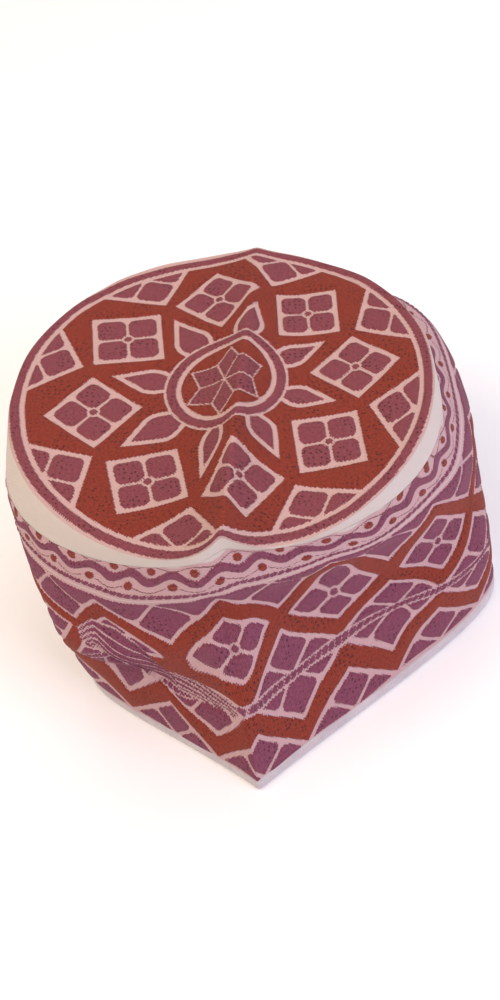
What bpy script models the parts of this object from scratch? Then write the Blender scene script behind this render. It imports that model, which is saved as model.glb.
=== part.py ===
"""Omani cap (kummah): a stiff embroidered cotton cap that stands on its rim.

Three sewn pieces make the cap: the round flat crown with its plain turned-down
margin, the tall side band below the seam, and the plain hem folded round the
lower edge. The cap has been pressed flat for the pocket, so a soft ridge runs
across the crown from front to back, and the band has a sharp upright crease in
front, a softer one behind, and a fold along the wall at mid height.

Frame: metres, +Z up, the front crease towards -Y, the rim on z = 0, and the
middle of the bounding box at x = y = 0.
"""

import math
from typing import NamedTuple

import bmesh
import bpy
import numpy as np

MM = 0.001

# Cloth and seams, in millimetres
CLOTH = 1.6            # stitched double cotton
SEAM_GAP = 0.3         # left between two sewn pieces
HEM_HEIGHT = 5.5
HEM_THICKNESS = 2.2    # the binding doubles the cloth at the rim

# Crown, in millimetres
CROWN_HEIGHT = 108.0   # flat of the crown above the rim
CROWN_RADIUS = 82.0    # flat top, out to where the margin turns down
RIDGE_OFFSET = 9.3     # the fold ridge passes right of the crown's centre
RIDGE_TURN = math.radians(-3.6)
RIDGE_HEIGHT = 12.0    # at the crown's centre
RIDGE_SLOPE = 0.075    # the ridge rises towards the front
RIDGE_WIDTH = 10.8     # its flanks die away over this length
RIDGE_NOSE = 1.5       # radius that softens the very top of the fold
FLANK_RISE = 0.081     # the flat top rises towards its sides
WALL_RIDGE_WIDTH = 39.0  # the same fold, wider where the wall takes it up
RIDGE_MEAN = 4.0       # height of the fold that the section heights already hold

# Shoulder, where the margin turns down into the wall
SHOULDER_OUT = 4.0     # length of its tangent on the crown, mm
SHOULDER_DOWN = 12.0   # length of its tangent on the wall, mm
SEAM_PLACE = 0.75      # the seam's place on the shoulder, 0 at the crown, 1 at the wall
SHOULDER_LENGTH = 12.5  # along the cloth, mm

# Grid
COLUMNS = 84
CROWN_RINGS = 12
SHOULDER_ROWS = (0.25, 0.5)
WALL_ROWS = (0.0, 7.0, 14.0, 21.0, 28.0, 34.0, 40.0, 46.0, 52.0, 58.0, 65.5, 73.0, 80.0, 87.0)
CURVE_STEPS = 40


class Section(NamedTuple):
    """One level cut through the wall, in millimetres and degrees.

    Each cut is a pointed oval of four curves that meet at the front crease, the
    right side, the back crease and the left side. A half angle of 90 would be a
    smooth round end, and a smaller one makes a sharper crease.
    """

    down: float          # along the cloth from the top dots' line
    height: float        # above the rim
    fold: float          # share of the crown's ridge that still lifts this level
    front_x: float
    front_y: float
    front_half_angle: float
    right_x: float
    right_y: float
    back_x: float
    back_y: float
    back_half_angle: float
    left_x: float
    left_y: float
    front_reach: float   # how far each curve keeps the crease's direction
    side_reach: float    # how far it keeps the side's direction
    back_reach: float    # the same for the two curves behind the sides


SECTIONS = (
    Section(0.0, 93.0, 1.40, -6.0, -82.8, 78.0, 84.5, -5.0, 4.5, 86.0, 86.0, -85.0, -19.5, 0.38, 0.41, 0.40),
    Section(14.0, 81.5, 1.15, -7.0, -83.4, 80.0, 90.2, 11.0, 6.0, 89.5, 81.0, -83.0, -27.0, 0.31, 0.48, 0.73),
    Section(28.0, 69.0, 0.90, -3.7, -81.0, 62.0, 96.5, 10.0, 6.0, 92.0, 81.0, -77.0, -48.0, 0.25, 0.46, 0.62),
    Section(46.0, 47.7, 1.30, -1.7, -88.0, 43.0, 98.7, 3.0, 4.0, 94.0, 82.0, -70.5, -64.0, 0.22, 0.35, 0.52),
    Section(65.5, 34.3, 0.15, -0.3, -97.3, 42.0, 101.4, -14.9, 2.5, 94.5, 80.0, -78.0, -48.0, 0.38, 0.26, 0.45),
    Section(94.5, 5.5, 0.0, 1.7, -112.1, 51.0, 103.3, -20.0, 1.0, 93.5, 72.0, -69.7, -54.5, 0.45, 0.14, 0.42),
)
FOLD_SECTION = 4       # the wall is creased along this section
BACK_REACH = 0.40      # the back crease's share of its curves

# The front crease is pressed sharp at the rim only, and rounder at mid height
PERIMETER = 576.0      # round the rim, along the cloth
FRONT_ROUND = 18.0     # half the length of cloth that the rounding takes up
ROUND_FROM = 6.0       # depths at which it starts, is full, is full no more, and ends
ROUND_FULL = 22.0
ROUND_LAST = 54.0
ROUND_END = 74.0
ROUND_SAMPLES = 13


def ridge_height(x, y, width):
    """Height of the crown's fold: a crest that falls off exponentially on both
    sides, over flanks that rise evenly towards the sides."""
    across = x * math.cos(RIDGE_TURN) + y * math.sin(RIDGE_TURN) - RIDGE_OFFSET
    along = y * math.cos(RIDGE_TURN) - x * math.sin(RIDGE_TURN)
    away = np.sqrt(across ** 2 + RIDGE_NOSE ** 2) - RIDGE_NOSE
    crest = RIDGE_HEIGHT - RIDGE_SLOPE * along
    return crest * np.exp(-away / width) + FLANK_RISE * away


def quarter(start, start_way, end, end_way, start_reach, end_reach):
    """Cubic curve between two corners of a section, each with its direction."""
    t = np.linspace(0.0, 1.0, CURVE_STEPS + 1)[:, None]
    chord = np.linalg.norm(end - start)
    near = start + start_way * chord * start_reach
    far = end + end_way * chord * end_reach
    return ((1 - t) ** 3 * start + 3 * t * (1 - t) ** 2 * near
            + 3 * t ** 2 * (1 - t) * far + t ** 3 * end)


def spread(points, count):
    """Even points by arc length along a polyline, ends included."""
    run = np.r_[0.0, np.cumsum(np.linalg.norm(np.diff(points, axis=0), axis=1))]
    at = np.linspace(0.0, run[-1], count + 1)
    return np.stack([np.interp(at, run, points[:, k]) for k in (0, 1)], axis=1)


def section_outline(cut):
    """Plan of a section, counter-clockwise from the front crease, COLUMNS points."""
    front = np.array([cut.front_x, cut.front_y])
    right = np.array([cut.right_x, cut.right_y])
    back = np.array([cut.back_x, cut.back_y])
    left = np.array([cut.left_x, cut.left_y])
    forward = np.array([0.0, -1.0])
    nose = math.radians(cut.front_half_angle)
    tail = math.radians(cut.back_half_angle)
    reach, side = cut.front_reach, cut.side_reach
    to_right = np.array([math.sin(nose), math.cos(nose)])
    from_right = np.array([math.sin(tail), -math.cos(tail)])
    mirror = np.array([-1.0, 1.0])
    right_half = np.vstack([
        quarter(front, to_right, right, forward, reach, side),
        quarter(right, -forward, back, from_right, cut.back_reach, BACK_REACH)[1:]])
    left_half = np.vstack([
        quarter(back, from_right * mirror, left, -forward, BACK_REACH, cut.back_reach),
        quarter(left, forward, front, to_right * mirror, side, reach)[1:]])
    half = COLUMNS // 2
    return np.vstack([spread(right_half, half)[:-1], spread(left_half, half)[:-1]])


def section_points(cut):
    """Points of a section in space, COLUMNS by 3."""
    plan = section_outline(cut)
    fold = ridge_height(plan[:, 0], plan[:, 1], WALL_RIDGE_WIDTH) - RIDGE_MEAN
    return np.column_stack([plan, cut.height + cut.fold * fold])


def between_sections(levels, at):
    """Cubic blend of the sections at a depth: smooth, but creased at the fold."""
    downs = [cut.down for cut in SECTIONS]
    k = min(int(np.searchsorted(downs, at, side="right")) - 1, len(downs) - 2)
    step = downs[k + 1] - downs[k]
    t = (at - downs[k]) / step
    chord = levels[k + 1] - levels[k]

    def slope(i):
        """Change over this step at section i, one-sided at the ends and the fold."""
        if i in (0, FOLD_SECTION, len(downs) - 1):
            return chord
        return (levels[i + 1] - levels[i - 1]) * step / (downs[i + 1] - downs[i - 1])

    return ((2 * t ** 3 - 3 * t ** 2 + 1) * levels[k] + (t ** 3 - 2 * t ** 2 + t) * slope(k)
            + (3 * t ** 2 - 2 * t ** 3) * levels[k + 1] + (t ** 3 - t ** 2) * slope(k + 1))


def rounded_front(row, at):
    """Row of the wall with its front crease rounded. A point nearer the crease
    than FRONT_ROUND moves to the mean of the cloth beside it, as far both ways as
    is left of that length."""
    share = np.interp(at, (ROUND_FROM, ROUND_FULL, ROUND_LAST, ROUND_END), (0.0, 1.0, 1.0, 0.0))
    share = share * share * (3.0 - 2.0 * share)
    reach = FRONT_ROUND * COLUMNS / PERIMETER
    near = np.arange(-math.floor(reach), math.floor(reach) + 1)
    window = (reach - np.abs(near))[:, None] * np.linspace(-1.0, 1.0, ROUND_SAMPLES)
    mean = np.stack([np.interp(near[:, None] + window, np.arange(COLUMNS), row[:, k],
                               period=COLUMNS).mean(axis=1) for k in range(3)], axis=1)
    rounded = row.copy()
    rounded[near] += share * (mean - row[near])
    return rounded


def crown_ring(heading, radius):
    """Ring of the flat top, with the fold ridge across it. The innermost rings
    are centred on the ridge, so the grid's pole lies on its crest."""
    x = radius * np.cos(heading) + RIDGE_OFFSET * (1.0 - radius / CROWN_RADIUS)
    y = radius * np.sin(heading)
    return np.column_stack([x, y, CROWN_HEIGHT + ridge_height(x, y, RIDGE_WIDTH)])


def shoulder_row(top, outward, wall, t):
    """Cubic turn from the crown's edge down into the wall."""
    start_way = outward * SHOULDER_OUT
    end_way = np.array([0.0, 0.0, -SHOULDER_DOWN])
    return ((2 * t ** 3 - 3 * t ** 2 + 1) * top + (t ** 3 - 2 * t ** 2 + t) * start_way
            + (3 * t ** 2 - 2 * t ** 3) * wall + (t ** 3 - t ** 2) * end_way)


def cap_rows():
    """Every row of the cap's outer face from the crown's centre to the rim.

    Returns the rows as one array, and the row numbers at which the seam and the
    hem part the pieces.
    """
    levels = [section_points(cut) for cut in SECTIONS]
    heading = np.arctan2(levels[0][:, 1], levels[0][:, 0])
    outward = np.column_stack([np.cos(heading), np.sin(heading), np.zeros(COLUMNS)])
    radii = np.linspace(0.0, CROWN_RADIUS, CROWN_RINGS + 1)
    rows = [crown_ring(heading, radius) for radius in radii]

    half_gap = 0.5 * SEAM_GAP / SHOULDER_LENGTH
    places = SHOULDER_ROWS + (SEAM_PLACE - half_gap, SEAM_PLACE + half_gap)
    rows += [shoulder_row(rows[CROWN_RINGS], outward, levels[0], t) for t in places]
    seam = len(rows) - 1

    rows += [rounded_front(between_sections(levels, down), down) for down in WALL_ROWS]
    rim = levels[-1].copy()
    hem = len(rows) + 1
    for height in (HEM_HEIGHT + SEAM_GAP, HEM_HEIGHT, 0.5 * HEM_HEIGHT, 0.0):
        level = rim.copy()
        level[:, 2] = height
        rows.append(level)
    return np.array(rows), seam, hem


def outward_normals(rows, hem):
    """Unit normals of the row grid, from differences along and across it."""
    down = np.gradient(rows, axis=0)
    round_way = np.roll(rows, -1, axis=1) - np.roll(rows, 1, axis=1)
    normal = np.cross(down, round_way)
    normal[0] = (0.0, 0.0, 1.0)
    normal[hem - 1:, :, 2] = 0.0
    return normal / np.linalg.norm(normal, axis=2)[:, :, None]


def add_rows(mesh, rows):
    """One bmesh vertex for each point, a list for each row."""
    return [[mesh.verts.new(point) for point in row] for row in rows]


def join_rows(mesh, upper, lower):
    """Ring of quads between two rows, facing away from the cap's axis."""
    for k in range(len(upper)):
        after = (k + 1) % len(upper)
        mesh.faces.new((upper[k], lower[k], lower[after], upper[after]))


def fan(mesh, centre, ring):
    """Triangles from the crown's centre to its first ring."""
    for k in range(len(ring)):
        mesh.faces.new((centre, ring[k], ring[(k + 1) % len(ring)]))


def cloth_shell(outer, inner, closed_top):
    """Closed wall between an outer and an inner grid of rows.

    With closed_top the first row is a single point, and the shell is a lid.
    Otherwise the top edge is closed as the lower one is.
    """
    mesh = bmesh.new()
    faces_out = add_rows(mesh, outer[1:] if closed_top else outer)
    faces_in = add_rows(mesh, inner[1:] if closed_top else inner)
    for upper, lower in zip(faces_out, faces_out[1:]):
        join_rows(mesh, upper, lower)
    for upper, lower in zip(faces_in, faces_in[1:]):
        join_rows(mesh, lower, upper)
    join_rows(mesh, faces_out[-1], faces_in[-1])
    if closed_top:
        fan(mesh, mesh.verts.new(outer[0][0]), faces_out[0])
        fan(mesh, mesh.verts.new(inner[0][0]), faces_in[0][::-1])
    else:
        join_rows(mesh, faces_in[0], faces_out[0])
    bmesh.ops.triangulate(mesh, faces=mesh.faces)
    bmesh.ops.recalc_face_normals(mesh, faces=mesh.faces)
    return mesh


def principled(name, colour, roughness):
    """Plain cloth material with the piece's own colour."""
    material = bpy.data.materials.new(name)
    material.use_nodes = True
    shader = material.node_tree.nodes["Principled BSDF"]
    shader.inputs["Base Color"].default_value = (*colour, 1.0)
    shader.inputs["Roughness"].default_value = roughness
    shader.inputs["Metallic"].default_value = 0.0
    return material


def add_piece(name, outer, inner, closed_top, material):
    """Object of one sewn piece, from its outer and inner rows in millimetres."""
    shell = cloth_shell(outer * MM, inner * MM, closed_top)
    data = bpy.data.meshes.new(name)
    shell.to_mesh(data)
    shell.free()
    data.shade_smooth()
    data.set_sharp_from_angle(angle=math.radians(40.0))
    data.materials.append(material)
    piece = bpy.data.objects.new(name, data)
    bpy.context.scene.collection.objects.link(piece)
    return piece


def build_cap():
    """Cut the cap's outer face into its three pieces and give each its wall."""
    rows, seam, hem = cap_rows()
    low = rows.reshape(-1, 3).min(axis=0)
    high = rows.reshape(-1, 3).max(axis=0)
    rows = rows - np.array([0.5 * (low[0] + high[0]), 0.5 * (low[1] + high[1]), 0.0])
    normals = outward_normals(rows, hem)
    cloth_inside = rows - CLOTH * normals
    hem_inside = rows - HEM_THICKNESS * normals

    embroidered = principled("embroidered_cotton", (0.27, 0.065, 0.060), 0.85)
    band_cloth = principled("embroidered_band_cotton", (0.24, 0.070, 0.095), 0.85)
    plain = principled("plain_hem_cotton", (0.60, 0.48, 0.46), 0.90)
    add_piece("crown", rows[:seam], cloth_inside[:seam], True, embroidered)
    add_piece("side_band", rows[seam:hem], cloth_inside[seam:hem], False, band_cloth)
    add_piece("rim_hem", rows[hem:], hem_inside[hem:], False, plain)


for leftover in list(bpy.data.objects):
    bpy.data.objects.remove(leftover, do_unlink=True)
build_cap()
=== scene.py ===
"""Looks of an Omani cap (kummah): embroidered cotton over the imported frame.

The cloth follows the same formulas as the solids, on a much finer grid. The
embroidery is charted in millimetres as signed distances, positive inside each
thread's patch, which raise the cloth and colour it.
"""

import logging
import math
from dataclasses import dataclass
from enum import Enum
from typing import NamedTuple

import bpy
import numpy as np
from mathutils import Matrix

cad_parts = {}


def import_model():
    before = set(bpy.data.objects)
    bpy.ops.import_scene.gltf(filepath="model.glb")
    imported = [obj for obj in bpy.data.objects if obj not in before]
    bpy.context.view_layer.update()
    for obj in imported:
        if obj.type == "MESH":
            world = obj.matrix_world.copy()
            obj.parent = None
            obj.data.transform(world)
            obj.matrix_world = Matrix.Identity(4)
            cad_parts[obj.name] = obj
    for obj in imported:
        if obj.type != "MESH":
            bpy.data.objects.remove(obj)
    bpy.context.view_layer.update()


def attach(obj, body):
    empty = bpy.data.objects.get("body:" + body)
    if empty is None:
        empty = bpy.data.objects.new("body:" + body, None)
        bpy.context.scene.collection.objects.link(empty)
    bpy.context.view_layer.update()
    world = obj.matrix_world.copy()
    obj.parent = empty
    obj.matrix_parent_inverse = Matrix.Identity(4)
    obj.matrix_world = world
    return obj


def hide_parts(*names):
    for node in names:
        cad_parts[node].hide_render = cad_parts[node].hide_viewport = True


LOG = logging.getLogger("omani_cap")
MM = 0.001
FAR = 9.0              # signed distance that stands for "nowhere near", mm
Pixel = tuple[float, float]


class Thread(Enum):
    """The threads that the chart is stitched with."""

    MAUVE = "mauve"
    RUST = "rust_mm"
    CREAM = "cream_mm"
    DARK = "dark_mm"


class Section(NamedTuple):
    """One level cut through the wall, in millimetres and degrees."""

    down: float          # along the cloth from the top dots' line
    height: float        # above the rim
    fold: float          # share of the crown's ridge that still lifts this level
    front_x: float
    front_y: float
    front_half_angle: float
    right_x: float
    right_y: float
    back_x: float
    back_y: float
    back_half_angle: float
    left_x: float
    left_y: float
    front_reach: float   # how far each curve keeps the crease's direction
    side_reach: float    # how far it keeps the side's direction
    back_reach: float    # the same for the two curves behind the sides


# Fitted by a search to the photographed embroidery and outline, and then rounded
SECTIONS = (
    Section(0.0, 93.0, 1.40, -6.0, -82.8, 78.0, 84.5, -5.0, 4.5, 86.0, 86.0, -85.0, -19.5,
            0.38, 0.41, 0.40),
    Section(14.0, 81.5, 1.15, -7.0, -83.4, 80.0, 90.2, 11.0, 6.0, 89.5, 81.0, -83.0, -27.0,
            0.31, 0.48, 0.73),
    Section(28.0, 69.0, 0.90, -3.7, -81.0, 62.0, 96.5, 10.0, 6.0, 92.0, 81.0, -77.0, -48.0,
            0.25, 0.46, 0.62),
    Section(46.0, 47.7, 1.30, -1.7, -88.0, 43.0, 98.7, 3.0, 4.0, 94.0, 82.0, -70.5, -64.0,
            0.22, 0.35, 0.52),
    Section(65.5, 34.3, 0.15, -0.3, -97.3, 42.0, 101.4, -14.9, 2.5, 94.5, 80.0, -78.0, -48.0,
            0.38, 0.26, 0.45),
    Section(94.5, 5.5, 0.0, 1.7, -112.1, 51.0, 103.3, -20.0, 1.0, 93.5, 72.0, -69.7, -54.5,
            0.45, 0.14, 0.42),
)
LAST_DOWN = SECTIONS[-1].down


def hermite(t: np.ndarray | float, start: np.ndarray, start_way: np.ndarray,
            end: np.ndarray, end_way: np.ndarray) -> np.ndarray:
    """Cubic blend: (2t^3 - 3t^2 + 1) start + (t^3 - 2t^2 + t) start_way, and the mirror for the end.

    Args:
        t: places on the blend, 0 to 1.
        start: points at its start.
        start_way: tangents there.
        end: points at its end.
        end_way: tangents there.

    Returns:
        The blended points.
    """
    return ((2 * t ** 3 - 3 * t ** 2 + 1) * start + (t ** 3 - 2 * t ** 2 + t) * start_way
            + (3 * t ** 2 - 2 * t ** 3) * end + (t ** 3 - t ** 2) * end_way)


@dataclass(frozen=True)
class CapShape:
    """The cap's outer face in millimetres, as the solids have it."""

    crown_height: float = 108.0
    crown_radius: float = 82.0
    ridge_offset: float = 9.3
    ridge_turn: float = math.radians(-3.6)
    ridge_height: float = 12.0
    ridge_slope: float = 0.075
    ridge_width: float = 10.8
    ridge_nose: float = 1.5
    flank_rise: float = 0.081
    wall_ridge_width: float = 39.0
    ridge_mean: float = 4.0
    shoulder_out: float = 4.0
    shoulder_down: float = 12.0
    seam_place: float = 0.75
    shoulder_length: float = 12.5
    fold_section: int = 4
    tail_reach: float = 0.40
    perimeter: float = 576.0     # round the rim, along the cloth
    front_round: float = 18.0    # half the length of cloth that rounds the front crease
    round_depths: tuple[float, ...] = (6.0, 22.0, 54.0, 74.0)   # from, full, full until, end
    round_samples: int = 13
    curve_steps: int = 400
    shift_step: float = 0.5      # between the rows that measure the wall's box, mm
    half: int = 540          # columns from the front crease to the back one

    def fold_place(self, x: np.ndarray, y: np.ndarray) -> tuple[np.ndarray, np.ndarray]:
        """Places across the fold from its crest, and along it."""
        cosine, sine = math.cos(self.ridge_turn), math.sin(self.ridge_turn)
        return x * cosine + y * sine - self.ridge_offset, y * cosine - x * sine

    def ridge(self, x: np.ndarray, y: np.ndarray, width: float) -> np.ndarray:
        """Height of the fold: a crest that falls off exponentially over rising flanks.

        Args:
            x: places across the cap.
            y: places along it.
            width: length over which the crest's flanks die away.

        Returns:
            The height above the flat of the crown.
        """
        across, along = self.fold_place(x, y)
        away = np.sqrt(across ** 2 + self.ridge_nose ** 2) - self.ridge_nose
        crest = self.ridge_height - self.ridge_slope * along
        return crest * np.exp(-away / width) + self.flank_rise * away

    def quarter(self, start: np.ndarray, start_way: np.ndarray, end: np.ndarray,
                end_way: np.ndarray, start_reach: float, end_reach: float) -> np.ndarray:
        """Cubic curve between two corners, with handles as shares of the chord.

        Args:
            start: first corner.
            start_way: unit direction in which the curve leaves it.
            end: last corner.
            end_way: unit direction from it back along the curve.
            start_reach: first handle, as a share of the chord.
            end_reach: last handle, as a share of the chord.

        Returns:
            Points along the curve.
        """
        t = np.linspace(0.0, 1.0, self.curve_steps + 1)[:, None]
        chord = np.linalg.norm(end - start)
        near = start + start_way * chord * start_reach
        far = end + end_way * chord * end_reach
        return ((1 - t) ** 3 * start + 3 * t * (1 - t) ** 2 * near
                + 3 * t ** 2 * (1 - t) * far + t ** 3 * end)

    def spread(self, points: np.ndarray) -> np.ndarray:
        """Even points by arc length along a polyline, ends included."""
        run = np.r_[0.0, np.cumsum(np.linalg.norm(np.diff(points, axis=0), axis=1))]
        at = np.linspace(0.0, run[-1], self.half + 1)
        return np.stack([np.interp(at, run, points[:, k]) for k in (0, 1)], axis=1)

    def section_points(self, cut: Section) -> np.ndarray:
        """Points of a section, counter-clockwise from the front crease and back to it.

        Args:
            cut: the section.

        Returns:
            Array of twice half plus one points.
        """
        front = np.array([cut.front_x, cut.front_y])
        right = np.array([cut.right_x, cut.right_y])
        back = np.array([cut.back_x, cut.back_y])
        left = np.array([cut.left_x, cut.left_y])
        forward = np.array([0.0, -1.0])
        nose, tail = math.radians(cut.front_half_angle), math.radians(cut.back_half_angle)
        to_right = np.array([math.sin(nose), math.cos(nose)])
        from_right = np.array([math.sin(tail), -math.cos(tail)])
        mirror = np.array([-1.0, 1.0])
        right_half = np.vstack([
            self.quarter(front, to_right, right, forward, cut.front_reach, cut.side_reach),
            self.quarter(right, -forward, back, from_right, cut.back_reach, self.tail_reach)[1:]])
        left_half = np.vstack([
            self.quarter(back, from_right * mirror, left, -forward, self.tail_reach, cut.back_reach),
            self.quarter(left, forward, front, to_right * mirror, cut.side_reach, cut.front_reach)[1:]])
        plan = np.vstack([self.spread(right_half)[:-1], self.spread(left_half)])
        fold = self.ridge(plan[:, 0], plan[:, 1], self.wall_ridge_width) - self.ridge_mean
        return np.column_stack([plan, cut.height + cut.fold * fold])

    def wall_row(self, levels: list[np.ndarray], at: float) -> np.ndarray:
        """Cubic blend of the sections at a depth: smooth, but creased at the fold.

        Args:
            levels: the sections' points.
            at: depth along the cloth.

        Returns:
            The row of points at that depth.
        """
        downs = [cut.down for cut in SECTIONS]
        k = min(int(np.searchsorted(downs, at, side="right")) - 1, len(downs) - 2)
        step = downs[k + 1] - downs[k]
        t = (at - downs[k]) / step
        chord = levels[k + 1] - levels[k]

        def slope(i: int) -> np.ndarray:
            """Change over this step at section i, one-sided at the ends and the fold."""
            if i in (0, self.fold_section, len(downs) - 1):
                return chord
            return (levels[i + 1] - levels[i - 1]) * step / (downs[i + 1] - downs[i - 1])

        return hermite(t, levels[k], slope(k), levels[k + 1], slope(k + 1))

    def rounded_row(self, levels: list[np.ndarray], at: float) -> np.ndarray:
        """Row of the wall with its front crease pressed round at mid height.

        A point nearer the crease than front_round moves to the mean of the cloth
        beside it, as far both ways as is left of that length.

        Args:
            levels: the sections' points.
            at: depth along the cloth.

        Returns:
            The row of points at that depth.
        """
        row = self.wall_row(levels, at)
        columns = 2 * self.half
        share = np.interp(at, self.round_depths, (0.0, 1.0, 1.0, 0.0))
        share = share * share * (3.0 - 2.0 * share)
        reach = self.front_round * columns / self.perimeter
        near = np.arange(-int(reach), int(reach) + 1)
        window = (reach - np.abs(near))[:, None] * np.linspace(-1.0, 1.0, self.round_samples)
        mean = np.stack([np.interp(near[:, None] + window, np.arange(columns), row[:-1, k],
                                   period=columns).mean(axis=1) for k in range(3)], axis=1)
        rounded = row[:-1].copy()
        rounded[near] += share * (mean - rounded[near])
        return np.vstack([rounded, rounded[:1]])

    def crown_point(self, x: np.ndarray, y: np.ndarray) -> np.ndarray:
        """Points of the crown's top over places in plan."""
        return np.stack([x, y, self.crown_height + self.ridge(x, y, self.ridge_width)], axis=-1)

    def shoulder_row(self, levels: list[np.ndarray], t: float) -> np.ndarray:
        """Cubic turn from the crown's edge, t = 0, down into the wall, t = 1.

        Args:
            levels: the sections' points.
            t: place on the turn.

        Returns:
            The row of points there.
        """
        heading = np.arctan2(levels[0][:, 1], levels[0][:, 0])
        outward = np.column_stack([np.cos(heading), np.sin(heading), np.zeros_like(heading)])
        top = self.crown_point(self.crown_radius * outward[:, 0], self.crown_radius * outward[:, 1])
        return self.shoulder(top, outward, levels[0], t)

    def shoulder(self, top: np.ndarray, outward: np.ndarray, wall: np.ndarray,
                 t: np.ndarray | float) -> np.ndarray:
        """Cubic curves from the crown's edge, leaving it outwards, down into the wall.

        Args:
            top: points on the crown's edge.
            outward: unit directions in plan.
            wall: points on the wall's first level.
            t: places on the curves, 0 to 1.

        Returns:
            The points.
        """
        end_way = np.array([0.0, 0.0, -self.shoulder_down])
        return hermite(t, top, outward * self.shoulder_out, wall, end_way)

    def shift(self, levels: list[np.ndarray]) -> np.ndarray:
        """What moves the sections' frame to the middle of the wall's box, mm."""
        downs = np.arange(0.0, LAST_DOWN + self.shift_step, self.shift_step)
        rows = np.concatenate([self.wall_row(levels, down) for down in downs])
        middle = 0.5 * (rows.min(axis=0) + rows.max(axis=0))
        return middle * (1.0, 1.0, 0.0)


class Landmark(NamedTuple):
    """A point of the band's pattern, and where it lies in the photograph, read off.

    Hand stitching and tucks carry the pattern off its regular chart, and these
    points show by how much.
    """

    turn: float          # on the regular chart, in twelfths of a turn from the front crease
    depth: float         # on the regular chart, mm
    photo_x: float       # in the photograph, 500 by 1000 px
    photo_y: float


def marks(depth: float, *places: tuple[float, float, float]) -> tuple[Landmark, ...]:
    """Landmarks at one depth of the chart, each from its turn and its pixel."""
    return tuple(Landmark(turn, depth, x, y) for turn, x, y in places)


LANDMARKS = (
    # upper bands: edges at a peak, at a crossing, part way down and at a trough
    marks(23.0, (-1, 97, 601), (0, 219, 601))
    + marks(31.0, (-1, 104, 617.5), (0, 223, 617), (1, 335.5, 565), (2, 435, 515.5))
    + marks(41.3, (-0.5, 171, 644), (0.5, 279, 608.5), (1.5, 388, 560))
    + marks(49.3, (-0.5, 175, 673), (0.5, 281, 629), (1.5, 389, 580))
    + marks(58.5, (-0.25, 208, 690), (0.75, 311, 633), (1.25, 366, 603))
    + marks(59.6, (-1, 118, 648), (0, 246, 685), (1, 339, 619), (2, 443, 570))
    + marks(67.6, (0, 241, 706), (1, 340, 634.5), (2, 441, 584.5))
    # cells: side corners, eyes, and the ends of their cross lines
    + marks(45.3, (-0.61, 166, 660), (-0.39, 186.5, 657), (0, 235, 649.5), (0.39, 270, 621),
            (0.61, 288, 613), (1, 333, 590.5), (1.39, 379, 574), (1.61, 398, 568),
            (2, 438.5, 541.5), (2.39, 464.5, 513))
    + marks(38.2, (-0.195, 204, 637), (0.195, 246, 618.5), (0.805, 311, 585), (1.195, 357, 570),
            (1.805, 417, 541))
    + marks(52.4, (-0.195, 216, 675), (0.195, 259, 653), (0.805, 313, 616), (1.195, 359, 596),
            (2.195, 457, 543))
    + marks(39.3, (-0.835, 135, 639.5))
    + marks(48.9, (-0.263, 201.5, 665.5), (0.737, 302.5, 615))
    # the dashed line at mid height
    + marks(68.5, (-1.5, 110, 655), (-1, 124, 657), (-0.5, 205, 698), (-0.25, 224, 705),
            (0, 240.5, 712), (0.25, 268, 694), (0.5, 293, 674), (0.75, 317, 656), (1, 342, 638),
            (1.25, 370, 618.5), (1.5, 397, 604.5), (1.75, 420, 596), (2, 441, 587.5))
    # lowest band: edges at a peak, part way down and at a trough
    + marks(69.6, (-1, 163, 680), (0, 257.5, 711.5), (1, 344, 643.5), (2, 438, 592.5))
    + marks(77.4, (-1, 170, 700), (0, 257, 735), (1, 349, 666), (2, 440, 606))
    + marks(77.9, (-0.25, 240, 729), (0.25, 281, 716), (0.75, 322, 681), (1.25, 369, 647),
            (1.75, 413.5, 617))
    + marks(86.2, (-1.5, 130, 692), (-0.5, 217, 737), (0.5, 304, 720), (1.5, 393.5, 651),
            (2.5, 477, 588.5))
    # the lower and the upper dots
    + marks(7.0, (-1.38, 53.5, 557.5), (-1, 89, 575), (-0.63, 126.5, 586), (-0.25, 172.5, 588.5),
            (0.12, 220.5, 581.5), (0.87, 307, 559), (1.25, 353, 544), (1.62, 393, 521),
            (2, 423, 493), (2.37, 445, 463))
    + marks(-0.4, (-0.81, 115, 566), (-0.44, 151.5, 571), (0.69, 281, 549), (1.06, 326, 541),
            (1.81, 400, 495), (2.19, 426, 465))
)


class Tuck(NamedTuple):
    """Upper and lower edge of the pleated tuck at the front left, at one place round the cap."""

    turn: float          # in twelfths of a turn from the front crease
    top: float           # depth of the upper edge, mm
    foot: float          # of the lower edge


# Listed, guided by places worked out from the photograph
TUCK = (
    Tuck(-1.27, 34.5, 38.5), Tuck(-1.12, 30.5, 44.0), Tuck(-0.94, 33.5, 67.0), Tuck(-0.80, 40.5, 68.5),
    Tuck(-0.75, 46.0, 70.0), Tuck(-0.71, 60.0, 71.5), Tuck(-0.54, 63.0, 73.0), Tuck(-0.36, 65.5, 72.5),
    Tuck(-0.08, 67.0, 71.0),
)
PLEATS = 5               # folds across the tuck where it is wide
PLEAT_PITCH = 1.9        # the least distance from one to the next, mm
EYE_CREAM = 2.5          # radii of the small eye in the middle of a cell, mm
EYE_MAUVE = 1.5
EYE_DARK = 0.5
PAD_STEP = 0.35          # height of a patch of thread over the cloth, mm
PAD_EDGE = 0.5           # width over which it rises
PAD_SWELL = 0.30         # how much more it swells, far from its edge
PAD_REACH = 2.0          # over this length


class CrownDiamond(NamedTuple):
    """One of the crown's eight large diamonds, as it lies on the chart."""

    heading: float       # degrees from the front towards the right
    radius: float        # of its centre, mm
    radial: float        # half diagonals, mm
    across: float
    tilt: float          # how far it is turned off its spoke, degrees


class DiamondSeen(NamedTuple):
    """A diamond's corners in the photograph, px from its top left."""

    first: Pixel
    second: Pixel
    third: Pixel
    fourth: Pixel


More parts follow.
